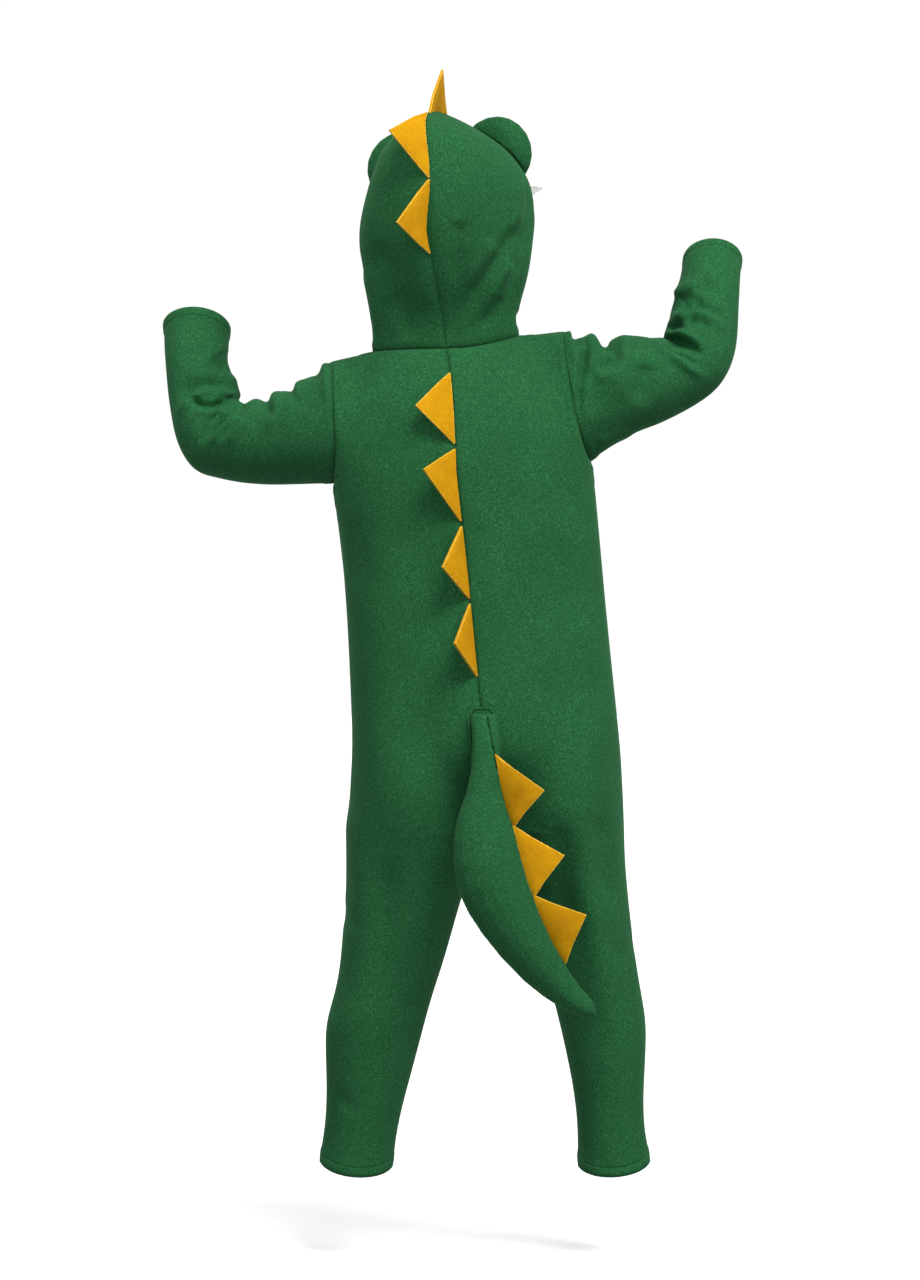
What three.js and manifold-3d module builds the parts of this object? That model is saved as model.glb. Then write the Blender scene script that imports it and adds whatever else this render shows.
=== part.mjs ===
// A child's one-piece dragon costume in thick fleece, hollow and posed as it is worn, with the
// arms raised. Millimetres, +X to the wearer's left, +Y to the back, +Z up.
// The origin is the middle of the neck seam, between the shoulders that carry the costume.
// Each sewn piece is a thin wall of its own, with its true curve, and 0.3 mm between pieces.
import * as THREE from "three";
import Module from "manifold-3d";
import { mergeVertices } from "three/addons/utils/BufferGeometryUtils.js";

const wasm = await Module();
wasm.setup();

// Driving dimensions
const CLOTH = 2.4; // thickness of the fleece
const SEAM = 0.3; // gap between two pieces at a seam
const FELT = 2.6; // thickness of a spike, two layers of felt
const SPIKE_BASE = 75;
const SPIKE_HEIGHT = 42;
const ZIP_OPENING = 8.6; // between the two fronts, over the zip
const ZIP_TAPE_WIDTH = 8;
const ZIP_TAPE_THICKNESS = 1.6;

const LEFT = 1;
const RIGHT = -1;
const BACK = 1;
const FRONT = -1;

const GREEN = { color: 0x2b6b41, roughness: 0.95, metalness: 0 };
const YELLOW = { color: 0xd99b06, roughness: 0.8, metalness: 0 };
const WHITE = { color: 0xe8e4da, roughness: 0.85, metalness: 0 };
const BLACK = { color: 0x16171a, roughness: 0.85, metalness: 0 };
const ZIP_GREEN = { color: 0x1f5233, roughness: 0.8, metalness: 0 };
const METAL = { color: 0x9a9c9e, roughness: 0.35, metalness: 1 };

// The neck seam: an oval, lower at the front, and higher at the wearer's raised right shoulder.
const NECK = { back: 50, front: -55, drop: -26, left: { x: 77, z: 0 }, right: { x: -77, z: 17 } };

// Steps of the panels' grids. Across: the neck, then the shoulder seam. Down: the yoke beside
// the armhole, the torso, the seat and the leg.
const NECK_STEPS = 5;
const SHOULDER_STEPS = 3;
const YOKE_STEPS = 10;
const TORSO_STEPS = 6;
const SEAT_STEPS = 7;
const LEG_STEPS = 12;
const BODY_COLUMNS = NECK_STEPS + SHOULDER_STEPS;
const BODY_ROWS = YOKE_STEPS + TORSO_STEPS + SEAT_STEPS + LEG_STEPS;
const NECK_SHARE = NECK_STEPS / BODY_COLUMNS;
const YOKE_END = YOKE_STEPS / BODY_ROWS;
const HIP_END = (YOKE_STEPS + TORSO_STEPS) / BODY_ROWS;
const CROTCH_END = (BODY_ROWS - LEG_STEPS) / BODY_ROWS;

// Each armhole: shoulder tip, underarm point, reach to the back and front, and how far the seam
// bows in towards the body.
const ARMHOLES = {
  [LEFT]: { tip: { x: 121, z: -10 }, under: { x: 118, z: -138 }, back: 50, front: -48, bow: 5 },
  [RIGHT]: { tip: { x: -124, z: 22 }, under: { x: -152, z: -115 }, back: 50, front: -48, bow: 9 },
};

// The body and legs, level by level. inner is the centre seam above the crotch and the inseam
// below it, outer is the side seam, back and front are the deepest points.
const CROTCH_ROUND = 0.8; // 0.5 is a quarter circle from the seat to the crotch
const CHEST = -126; // the level of the underarm, taken at the centre seam
const CROTCH = -497;
const HIP = -400; // the seat starts to curve under, and the zip ends, at this level
const HEM = -838;
const BODY = {
  [LEFT]: [
    { z: -80, inner: -6, outer: 121, back: 80, front: -88 },
    { z: -138, inner: -11, outer: 118, back: 84, front: -94 },
    { z: -237, inner: -22, outer: 106, back: 84, front: -98 },
    { z: -320, inner: -30, outer: 101, back: 90, front: -102 },
    { z: -403, inner: -39, outer: 98, back: 100, front: -102 },
    { z: -450, inner: -42, outer: 100, back: 99, front: -94 },
    { z: -497, inner: -43, outer: 103, back: 89, front: -83 },
    { z: -530, inner: -30, outer: 103, back: 80, front: -75 },
    { z: -575, inner: -15, outer: 105, back: 70, front: -66 },
    { z: -632, inner: 1, outer: 110, back: 61, front: -59 },
    { z: -674, inner: 15, outer: 118, back: 56, front: -54 },
    { z: -697, inner: 21, outer: 126, back: 54, front: -52 },
    { z: -757, inner: 37, outer: 125, back: 47, front: -46 },
    { z: -799, inner: 49, outer: 126, back: 42, front: -43 },
    { z: -838, inner: 54, outer: 132, back: 41, front: -45 },
  ],
  [RIGHT]: [
    { z: -80, inner: -6, outer: -148, back: 80, front: -88 },
    { z: -138, inner: -11, outer: -155, back: 84, front: -94 },
    { z: -237, inner: -22, outer: -164, back: 84, front: -98 },
    { z: -320, inner: -30, outer: -172, back: 90, front: -102 },
    { z: -403, inner: -39, outer: -181, back: 100, front: -102 },
    { z: -450, inner: -42, outer: -184, back: 99, front: -94 },
    { z: -497, inner: -43, outer: -186, back: 89, front: -83 },
    { z: -530, inner: -57, outer: -187, back: 80, front: -75 },
    { z: -575, inner: -78, outer: -191, back: 70, front: -66 },
    { z: -632, inner: -100, outer: -198, back: 61, front: -59 },
    { z: -674, inner: -111, outer: -205, back: 56, front: -54 },
    { z: -697, inner: -117, outer: -209, back: 53, front: -51 },
    { z: -757, inner: -130, outer: -207, back: 45, front: -44 },
    { z: -799, inner: -136, outer: -206, back: 41, front: -42 },
    { z: -838, inner: -136, outer: -213, back: 40, front: -44 },
  ],
};
const SECTION_POWER = { chest: 2.5, crotch: 2.2 }; // squareness of the sections, 2 is an ellipse
const THIGH = -325; // the outside of the thigh starts to part from the torso at this level
const HEM_TILT = { back: -13, inner: -5, from: -740 }; // the ankle hem dips at the heel

// Each sleeve, section by section from the armhole to the cuff. top is the line over the
// shoulder and inside the elbow, low is the line under the arm and outside the elbow.
const SLEEVES = {
  [LEFT]: [
    { s: 0, topX: 121, topZ: -10, lowX: 118, lowZ: -138, y: 0, deep: 49 },
    { s: 1, topX: 142, topZ: -25, lowX: 148, lowZ: -138, y: -8, deep: 50 },
    { s: 2, topX: 163, topZ: -37, lowX: 182, lowZ: -139, y: -15, deep: 49 },
    { s: 3, topX: 184, topZ: -44, lowX: 216, lowZ: -136, y: -22, deep: 47 },
    { s: 4, topX: 201, topZ: -49, lowX: 243, lowZ: -130, y: -29, deep: 45 },
    { s: 5, topX: 209, topZ: -50, lowX: 263, lowZ: -123, y: -35, deep: 43 },
    { s: 6, topX: 213, topZ: -47, lowX: 277, lowZ: -104, y: -40, deep: 42 },
    { s: 7, topX: 214, topZ: -42, lowX: 286, lowZ: -80, y: -46, deep: 41 },
    { s: 8, topX: 217, topZ: -29, lowX: 292, lowZ: -49, y: -55, deep: 38 },
    { s: 9, topX: 226, topZ: -12, lowX: 296, lowZ: -16, y: -66, deep: 36 },
    { s: 10, topX: 230, topZ: 7, lowX: 299, lowZ: 9, y: -80, deep: 34 },
    { s: 11, topX: 230, topZ: 29, lowX: 301, lowZ: 34, y: -96, deep: 35 },
  ],
  [RIGHT]: [
    { s: 0, topX: -124, topZ: 22, lowX: -152, lowZ: -115, y: 0, deep: 49 },
    { s: 1, topX: -142, topZ: 16, lowX: -173, lowZ: -98, y: -8, deep: 50 },
    { s: 2, topX: -162, topZ: 14, lowX: -198, lowZ: -84, y: -15, deep: 49 },
    { s: 3, topX: -182, topZ: 18, lowX: -222, lowZ: -75, y: -22, deep: 47 },
    { s: 4, topX: -203, topZ: 17, lowX: -246, lowZ: -63, y: -30, deep: 44 },
    { s: 5, topX: -217, topZ: 13, lowX: -269, lowZ: -49, y: -36, deep: 42 },
    { s: 6, topX: -223, topZ: 13, lowX: -287, lowZ: -34, y: -42, deep: 41 },
    { s: 7, topX: -226, topZ: 18, lowX: -300, lowZ: -13, y: -48, deep: 40 },
    { s: 8, topX: -230, topZ: 31, lowX: -307, lowZ: 14, y: -58, deep: 38 },
    { s: 9, topX: -238, topZ: 52, lowX: -310, lowZ: 48, y: -72, deep: 35 },
    { s: 10, topX: -246, topZ: 76, lowX: -312, lowZ: 79, y: -88, deep: 32 },
    { s: 11, topX: -253, topZ: 106, lowX: -315, lowZ: 104, y: -112, deep: 31 },
  ],
};

// The largest folds of each sleeve: a trough (negative) or ridge from one place to another.
// at and to are sections along the sleeve, turn and toTurn are degrees from the top line
// towards the back.
const SLEEVE_FOLDS = {
  [LEFT]: [
    { at: 6.6, turn: 5, to: 4.2, toTurn: 105, height: -6, wide: 8 },
    { at: 5.6, turn: 5, to: 3.6, toTurn: 75, height: 4, wide: 9 },
    { at: 7.4, turn: 10, to: 6.6, toTurn: 110, height: -5, wide: 8 },
    { at: 8.2, turn: 5, to: 8.4, toTurn: 120, height: -4, wide: 9 },
    { at: 2.6, turn: -15, to: 3.2, toTurn: 60, height: -5, wide: 12 },
    { at: 1.5, turn: -20, to: 1.9, toTurn: 45, height: -4, wide: 11 },
    { at: 6.8, turn: -5, to: 4.8, toTurn: -100, height: -5, wide: 9 },
    { at: 7.8, turn: -5, to: 7.6, toTurn: -110, height: -4, wide: 9 },
  ],
  [RIGHT]: [
    { at: 6.6, turn: 5, to: 5.4, toTurn: 95, height: -6, wide: 8 },
    { at: 7.6, turn: 5, to: 7.8, toTurn: 110, height: -5, wide: 8 },
    { at: 5.6, turn: 5, to: 3.9, toTurn: 100, height: 4, wide: 9 },
    { at: 1.9, turn: -25, to: 2.4, toTurn: 50, height: -8, wide: 9 },
    { at: 0.7, turn: -20, to: 0.8, toTurn: 100, height: -5, wide: 8 },
    { at: 8.5, turn: 10, to: 8.8, toTurn: 120, height: -4, wide: 9 },
    { at: 6.8, turn: -5, to: 5.6, toTurn: -100, height: -5, wide: 9 },
    { at: 7.8, turn: -5, to: 7.9, toTurn: -110, height: -4, wide: 9 },
  ],
};

// The hood, level by level, before it is turned with the head. half is the width to one side,
// face is the angle, from the side towards the front, at which the face opening starts, x
// leans the hood over, and turn twists it round the neck.
const HOOD = [
  { v: 0, z: 0, half: 77, back: 50, front: -55, face: 90, x: 0, turn: 0 },
  { v: 0.06, z: 15, half: 75.5, back: 53, front: -57, face: 82, x: 1, turn: -1 },
  { v: 0.13, z: 33, half: 76, back: 58, front: -60, face: 66, x: 2, turn: -3 },
  { v: 0.2, z: 54, half: 80, back: 66, front: -66, face: 54, x: 1, turn: -6 },
  { v: 0.28, z: 75, half: 85, back: 75, front: -72, face: 45, x: 0, turn: -9 },
  { v: 0.36, z: 96, half: 89, back: 82, front: -78, face: 38, x: 0, turn: -12 },
  { v: 0.44, z: 116, half: 91, back: 87, front: -83, face: 34, x: 0, turn: -14 },
  { v: 0.52, z: 137, half: 91, back: 90, front: -86, face: 32, x: -2, turn: -14 },
  { v: 0.6, z: 158, half: 88, back: 90, front: -88, face: 33, x: -4, turn: -14 },
  { v: 0.67, z: 174, half: 84, back: 89, front: -88, face: 38, x: -4, turn: -14 },
  { v: 0.74, z: 189, half: 78, back: 87, front: -88, face: 54, x: -3, turn: -14 },
  { v: 0.81, z: 205, half: 68, back: 83, front: -85, face: 90, x: 0, turn: -14 },
  { v: 0.88, z: 221, half: 51, back: 76, front: -79, face: 90, x: 3, turn: -14 },
  { v: 0.94, z: 237, half: 29, back: 65, front: -70, face: 90, x: 6, turn: -14 },
  { v: 0.97, z: 244, half: 16, back: 57, front: -62, face: 90, x: 7, turn: -14 },
  { v: 1, z: 250, half: 0, back: 48, front: -52, face: 90, x: 8, turn: -14 },
];

// Spikes on the centre back, by the height of the seam point they start from, how far they have
// flopped to the wearer's left, in degrees from upright, and how far the tip sags down the back.
const BACK_SPIKES = [
  { name: "spike_back_1", z: -26, lean: 66, sag: 0 },
  { name: "spike_back_2", z: -105, lean: 51, sag: 1 },
  { name: "spike_back_3", z: -184, lean: 35, sag: 3 },
  { name: "spike_back_4", z: -263, lean: 28, sag: 5 },
];

// Spikes on the hood's centre seam. from and to are the heights of the two ends on the back of
// the hood, or the distances behind the crown for the one that stands on top.
const HOOD_SPIKES = [
  { name: "spike_hood_1", line: "crown", from: 44, to: -30, lean: -9, sag: 0 },
  { name: "spike_hood_2", line: "nape", from: 245, to: 171, lean: 49, sag: 0 },
  { name: "spike_hood_3", line: "nape", from: 169.5, to: 94, lean: 30, sag: 6 },
];

// The stuffed tail, section by section from root to tip. low is the seam underneath, which
// shows on the left from behind, and spiked is the seam that holds the spikes. y is the middle,
// deep is half the thickness, and turn is how far the spiked seam has rolled to face the back.
const TAIL = [
  { s: 0, lowX: -25, lowZ: -375, spikedX: -52, spikedZ: -375, y: 109.1, deep: 8, turn: 72 },
  { s: 1, lowX: -27, lowZ: -414, spikedX: -56, spikedZ: -414, y: 118, deep: 12, turn: 55 },
  { s: 2, lowX: -22, lowZ: -450, spikedX: -58, spikedZ: -448, y: 123, deep: 16, turn: 20 },
  { s: 3, lowX: -10, lowZ: -484, spikedX: -65, spikedZ: -479, y: 127, deep: 22, turn: 2 },
  { s: 4, lowX: -7, lowZ: -518, spikedX: -74, spikedZ: -509, y: 131, deep: 27, turn: 0 },
  { s: 5, lowX: -12, lowZ: -552, spikedX: -82, spikedZ: -539, y: 133, deep: 28, turn: 0 },
  { s: 6, lowX: -28, lowZ: -584, spikedX: -92, spikedZ: -568, y: 133, deep: 27, turn: 0 },
  { s: 7, lowX: -53, lowZ: -617, spikedX: -104, spikedZ: -595, y: 131, deep: 24, turn: 0 },
  { s: 8, lowX: -83, lowZ: -648, spikedX: -118, spikedZ: -622, y: 128, deep: 20, turn: 0 },
  { s: 9, lowX: -112, lowZ: -669, spikedX: -134, spikedZ: -647, y: 124, deep: 15, turn: 0 },
  { s: 10, lowX: -138, lowZ: -682, spikedX: -150, spikedZ: -665, y: 121, deep: 10, turn: 0 },
];
const TAIL_TIP = { x: -154, y: 120, z: -681 };
const TAIL_SPIKES = [
  { name: "spike_tail_1", from: 1.1, to: 3.25, tilt: 4 },
  { name: "spike_tail_2", from: 3.35, to: 5.6, tilt: 4 },
  { name: "spike_tail_3", from: 5.7, to: 8.1, tilt: 6 },
];
const WELT = { top: -368, bottom: -455, left: 15, right: 17, corner: 7 };

// The stuffed eye bumps, which stand up from the hood: the middle of each, its outward lean,
// and how far its front is turned from straight ahead.
const EYES = {
  [LEFT]: { x: 44, y: -48, z: 196, lean: 42, turn: -2 },
  [RIGHT]: { x: -53, y: -38, z: 210.5, lean: 40, turn: -24 },
};
const EYE = { wide: 40, tall: 39, deep: 22, power: 2.2 };
const EYE_WHITE = { up: 16, wide: 15, tall: 13, thickness: 1.6, lift: 0.7 };
const EYE_PUPIL = { up: 15, wide: 7.5, tall: 7, thickness: 1.2, lift: 2.9 };

// White felt fangs, by their height on the edge of the hood's brim, and how far they stand out.
const FANG = { base: 22, height: 27, thickness: 2 };
const FANGS = [
  { v: 0.535, lean: 30 },
  { v: 0.655, lean: 78 },
  { v: 0.76, lean: 60 },
];

// Smooth value of one column of a table, read between its rows.
function read(table, key, column, x) {
  const last = table.length - 1;
  const way = Math.sign(table[1][key] - table[0][key]);
  let i = 0;
  while (i < last - 1 && (x - table[i + 1][key]) * way > 0) i++;
  const slope = (k) => {
    const before = table[Math.max(k - 1, 0)];
    const after = table[Math.min(k + 1, last)];
    return (after[column] - before[column]) / (after[key] - before[key]);
  };
  const [a, b] = [table[i], table[i + 1]];
  const step = b[key] - a[key];
  const t = THREE.MathUtils.clamp((x - a[key]) / step, 0, 1);
  const rise = t * t * (3 - 2 * t);
  const leave = t * (1 - t) * (1 - t);
  const arrive = t * t * (t - 1);
  return a[column] * (1 - rise) + b[column] * rise + step * (leave * slope(i) + arrive * slope(i + 1));
}

const mix = (a, b, share) => a + (b - a) * share;
const radians = THREE.MathUtils.degToRad;
const vector = (x, y, z) => new THREE.Vector3(x, y, z);

// A point of the neck seam. angle is in radians from the side, positive towards the back. The
// seam runs straight between the corners of the panels' grids.
function neckPoint(side, angle) {
  const step = (angle / (Math.PI / 2)) * NECK_STEPS;
  const corner = Math.floor(step + 1e-6);
  const size = Math.PI / 2 / NECK_STEPS;
  const next = neckCorner(side, (corner + 1) * size);
  return neckCorner(side, corner * size).lerp(next, Math.max(0, step - corner));
}

function neckCorner(side, angle) {
  const end = side === LEFT ? NECK.left : NECK.right;
  const across = Math.cos(angle);
  const deep = Math.sin(angle);
  const y = deep * (deep > 0 ? NECK.back : -NECK.front);
  const drop = deep < 0 ? NECK.drop * deep * deep : 0;
  return vector(end.x * across, y, end.z * across * across + drop);
}

// A point of the armhole seam. angle runs from the shoulder tip, round the back, to the underarm.
function armholePoint(side, angle) {
  const hole = ARMHOLES[side];
  const down = (1 - Math.cos(angle)) / 2;
  const out = Math.sin(angle);
  return vector(
    mix(hole.tip.x, hole.under.x, down) - side * hole.bow * Math.abs(out),
    out * (out > 0 ? hole.back : -hole.front),
    mix(hole.tip.z, hole.under.z, down),
  );
}

// x of the centre seam, or of the inseam below the crotch
function innerLine(side, z) {
  if (z < CROTCH) return read(BODY[side], "z", "inner", z);
  return (read(BODY[LEFT], "z", "inner", z) + read(BODY[RIGHT], "z", "inner", z)) / 2;
}

// A point on the outside of a body panel. u runs from the centre seam to the side seam, v from
// the neck and shoulder to the ankle.
function bodyPoint(side, face, u, v) {
  const table = BODY[side];
  const depth = face === BACK ? "back" : "front";
  const quarter = (u * Math.PI) / 2;
  const lower = THREE.MathUtils.smoothstep(v, YOKE_END, CROTCH_END);
  const power = mix(SECTION_POWER.chest, SECTION_POWER.crotch, lower);
  const across = Math.sin(quarter) ** (2 / power);
  const deep = Math.max(0, Math.cos(quarter)) ** (2 / power);
  const armhole = ARMHOLES[side];

  if (v < YOKE_END) {
    const angle = (v / YOKE_END) * Math.PI;
    const down = (1 - Math.cos(angle)) / 2;
    const arm = armholePoint(side, angle);
    const top = vector(0, 0, 0);
    if (u < NECK_SHARE) {
      top.copy(neckPoint(side, (face * (1 - u / NECK_SHARE) * Math.PI) / 2));
    } else {
      const out = (u - NECK_SHARE) / (1 - NECK_SHARE);
      const neck = neckPoint(side, 0);
      top.set(mix(neck.x, armhole.tip.x, out), 0, mix(neck.z, armhole.tip.z, out));
    }
    const round = mix(1.5, 2, u);
    const open = (1 - (1 - down) ** round) ** (1 / round);
    const under = mix(CHEST, armhole.under.z, u ** 2);
    const inner = innerLine(side, under);
    const chest = read(table, "z", depth, under);
    const armX = armhole.tip.x + (arm.x - armhole.tip.x) / Math.max(open, 1e-6);
    const section = vector(mix(inner, armX, across), chest * deep, under);
    return vector(
      mix(top.x, section.x, open),
      mix(top.y, section.y, open) + Math.abs(arm.y) * face * u ** 4,
      mix(top.z, under, down),
    );
  }

  let level;
  let leg = 0;
  if (v < HIP_END) {
    const under = mix(CHEST, armhole.under.z, u ** 2);
    level = mix(under, HIP, (v - YOKE_END) / (HIP_END - YOKE_END));
  } else if (v < CROTCH_END) {
    const s = Math.sin((((v - HIP_END) / (CROTCH_END - HIP_END)) * Math.PI) / 2);
    level = mix(HIP, CROTCH, s);
    leg = 1 - Math.max(0, 1 - s * s) ** CROTCH_ROUND;
  } else {
    level = mix(CROTCH, HEM, (v - CROTCH_END) / (1 - CROTCH_END));
    leg = 1;
  }
  const thigh = level < CROTCH ? 1 : THREE.MathUtils.smoothstep(-level, -THIGH, -CROTCH);
  leg = mix(leg, thigh, THREE.MathUtils.smoothstep(u, 0, 0.5));
  const inner = innerLine(side, level);
  const outer = read(table, "z", "outer", level);
  const deepest = read(table, "z", depth, level);
  const torsoX = mix(inner, outer, across);
  const legAngle = u * Math.PI;
  const legX = mix(inner, outer, (1 - Math.cos(legAngle)) / 2);
  const x = mix(torsoX, legX, leg);
  const y = deepest * mix(deep, Math.sin(legAngle), leg);
  const dip = THREE.MathUtils.smoothstep(-level, -HEM_TILT.from, -HEM);
  const sag = face * HEM_TILT.back * Math.sin(legAngle) + (HEM_TILT.inner * (1 + Math.cos(legAngle))) / 2;
  return vector(x, y, level + dip * sag);
}

// A point on the outside of a sleeve. turn is in radians from the top line towards the back.
function sleevePoint(side, turn, s) {
  const table = SLEEVES[side];
  const middle = (at) =>
    vector(
      (read(table, "s", "topX", at) + read(table, "s", "lowX", at)) / 2,
      read(table, "s", "y", at),
      (read(table, "s", "topZ", at) + read(table, "s", "lowZ", at)) / 2,
    );
  const centre = middle(s);
  const up = vector(read(table, "s", "topX", s), centre.y, read(table, "s", "topZ", s)).sub(centre);
  const along = middle(Math.min(s + 0.05, 11)).sub(middle(Math.max(s - 0.05, 0))).normalize();
  const back = vector(0, 1, 0);
  const square = along.clone().cross(up).normalize();
  if (square.y < 0) square.negate();
  back.lerp(square, Math.min(1, s / 3)).normalize();
  const fade = Math.max(0, 1 - s / 1.5);
  const bow = side * ARMHOLES[side].bow * Math.abs(Math.sin(turn)) * fade;
  const point = centre
    .addScaledVector(up, Math.cos(turn))
    .addScaledVector(back, read(table, "s", "deep", s) * Math.sin(turn));
  point.x -= bow;
  const radial = up
    .clone()
    .multiplyScalar(Math.cos(turn) / up.length())
    .addScaledVector(back, Math.sin(turn));
  return point.addScaledVector(radial, sleeveFold(side, turn, s));
}

// How far the folds move the sleeve's cloth in or out at a place.
const SECTION_STEP = 33; // mm between two sections of a sleeve, along its middle
const SLEEVE_RADIUS = 42;
function sleeveFold(side, turn, s) {
  const free = THREE.MathUtils.smoothstep(s, 0, 0.6) * (1 - THREE.MathUtils.smoothstep(s, 9.6, 10.4));
  let moved = 0;
  for (const fold of SLEEVE_FOLDS[side]) {
    const wrapped = Math.atan2(Math.sin(turn), Math.cos(turn));
    const start = [fold.at * SECTION_STEP, radians(fold.turn) * SLEEVE_RADIUS];
    const way = [fold.to * SECTION_STEP - start[0], radians(fold.toTurn) * SLEEVE_RADIUS - start[1]];
    const here = [s * SECTION_STEP - start[0], wrapped * SLEEVE_RADIUS - start[1]];
    const length = Math.hypot(...way);
    const t = (here[0] * way[0] + here[1] * way[1]) / (length * length);
    const off = (here[0] * way[1] - here[1] * way[0]) / length;
    const ends =
      THREE.MathUtils.smoothstep(t, -0.25, 0.2) *
      (1 - THREE.MathUtils.smoothstep(t, 0.45, 1.15));
    moved += fold.height * ends * Math.exp(-((off / fold.wide) ** 2));
  }
  return moved * free;
}

// A point on the outside of the hood. u runs from the centre back round to the face opening or
// the front seam, v from the neck seam to the crown.
function hoodPoint(side, u, v) {
  const value = (column) => read(HOOD, "v", column, v);
  const angle = Math.PI / 2 - u * (Math.PI / 2 + radians(Math.min(90, value("face"))));
  const deep = Math.sin(angle);
  const neck = neckPoint(side, angle);
  const atNeck = Math.max(0, 1 - v / 0.28) ** 2;
  const point = vector(
    mix(side * Math.max(0, value("half")) * Math.cos(angle), neck.x, atNeck),
    mix(deep * (deep > 0 ? value("back") : -value("front")), neck.y, atNeck),
    value("z") + neck.z * atNeck + crownRise(deep, v),
  );
  point.applyAxisAngle(vector(0, 0, 1), radians(value("turn")));
  point.x += value("x") * (1 - atNeck);
  return point;
}

// The crown falls away a little towards its front and back ends.
function crownRise(deep, v) {
  return -7 * THREE.MathUtils.smoothstep(v, 0.8, 1) * deep * deep;
}

// Unit normal of a surface of (u, v), which faces away from the cloth's inside.
function normalAt(surface, u, v, flip) {
  const e = 1e-4;
  const [u0, u1] = [Math.max(0, u - e), Math.min(1, u + e)];
  const [v0, v1] = [Math.max(0, v - e), Math.min(1, v + e)];
  const du = surface(u1, v).sub(surface(u0, v));
  const dv = surface(u, v1).sub(surface(u, v0));
  const normal = du.clone().cross(dv).normalize();
  return { normal: flip ? normal.negate() : normal, du: du.normalize(), dv: dv.normalize() };
}

// The direction of a wall's thickness at a seam with a partner surface. Over a ridge both walls
// share one direction, and in a groove each keeps its own.
function seamNormal(own, other, inward) {
  const lean = own.clone().sub(other);
  if (lean.dot(inward) <= 0) return own;
  const shared = own.clone().add(other).normalize();
  return shared.multiplyScalar(1 / Math.max(0.5, shared.dot(own)));
}

// A closed solid from a grid of outer points and a grid of inner points.
// ring joins the last column to the first, as in a sleeve.
function solidFromGrids(outer, inner, ring) {
  const rows = outer.length;
  const columns = outer[0].length;
  const points = [...outer.flat(), ...inner.flat()];
  const half = rows * columns;
  const triangles = [];
  const quad = (a, b, c, d) => triangles.push([a, b, c], [a, c, d]);
  const spans = ring ? columns : columns - 1;
  for (let i = 0; i < rows - 1; i++) {
    for (let j = 0; j < spans; j++) {
      const k = (j + 1) % columns;
      const [a, b, c, d] = [i * columns + j, i * columns + k, (i + 1) * columns + k, (i + 1) * columns + j];
      quad(a, b, c, d);
      quad(half + d, half + c, half + b, half + a);
    }
  }
  for (let j = 0; j < spans; j++) {
    const k = (j + 1) % columns;
    const low = (rows - 1) * columns;
    quad(half + j, half + k, k, j);
    quad(low + j, low + k, half + low + k, half + low + j);
  }
  if (!ring) {
    for (let i = 0; i < rows - 1; i++) {
      const a = i * columns;
      const b = a + columns;
      quad(a, b, half + b, half + a);
      quad(b - 1, half + b - 1, half + b + columns - 1, b + columns - 1);
    }
  }
  return closed(points, triangles);
}

// A geometry whose faces point out, from points and triangles, without those of no area.
function closed(points, triangles) {
  const geometry = new THREE.BufferGeometry();
  const numbers = points.flatMap((p) => [p.x, p.y, p.z]);
  geometry.setAttribute("position", new THREE.Float32BufferAttribute(numbers, 3));
  geometry.setIndex(triangles.flat());
  const merged = mergeVertices(geometry, 1e-3);
  const index = Array.from(merged.index.array);
  const kept = [];
  let volume = 0;
  const position = merged.getAttribute("position");
  const corner = (i) => vector().fromBufferAttribute(position, i);
  for (let i = 0; i < index.length; i += 3) {
    const [a, b, c] = index.slice(i, i + 3);
    if (a === b || b === c || a === c) continue;
    kept.push(a, b, c);
    volume += corner(a).dot(corner(b).cross(corner(c)));
  }
  if (volume < 0) {
    for (let i = 0; i < kept.length; i += 3) [kept[i], kept[i + 1]] = [kept[i + 1], kept[i]];
  }
  merged.setIndex(kept);
  return merged;
}

// A wall of cloth on a surface of (u, v). trim gives how far each edge is drawn back from its
// seam line: left and right are the edges at u 0 and u 1, top and bottom those at v 0 and v 1.
// partner gives the surface that is sewn to each edge, and facing the place where the normal is
// taken, for a surface that comes to a point.
function clothWall({
  surface, rows, columns, flip, trim = {}, partner = {}, thickness = CLOTH, facing = (u) => u,
}) {
  const outer = [];
  const inner = [];
  for (let i = 0; i <= rows; i++) {
    const v = i / rows;
    const outerRow = [];
    const innerRow = [];
    for (let j = 0; j <= columns; j++) {
      const u = j / columns;
      const at = facing(u, v);
      const { normal, du, dv } = normalAt(surface, at, v, flip);
      const point = surface(u, v);
      const skew = Math.max(0.3, du.clone().cross(dv).length());
      const back = (edge) => (trim[edge] ? trim[edge](v, u) : SEAM / 2) / skew;
      if (j === 0) point.addScaledVector(du, back("left"));
      if (j === columns) point.addScaledVector(du, -back("right"));
      if (i === 0) point.addScaledVector(dv, back("top"));
      if (i === rows) point.addScaledVector(dv, -back("bottom"));
      let out = normal;
      const meet = (edge, inward) => {
        const other = partner[edge]?.(v, u);
        if (other) out = seamNormal(out, normalAt(other, at, v, !flip).normal, inward);
      };
      if (j === 0) meet("left", du);
      if (j === columns) meet("right", du.clone().negate());
      if (i === 0) meet("top", dv);
      if (i === rows) meet("bottom", dv.clone().negate());
      outerRow.push(point);
      innerRow.push(point.clone().addScaledVector(out, -thickness));
    }
    outer.push(outerRow);
    inner.push(innerRow);
  }
  return solidFromGrids(outer, inner, false);
}

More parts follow.
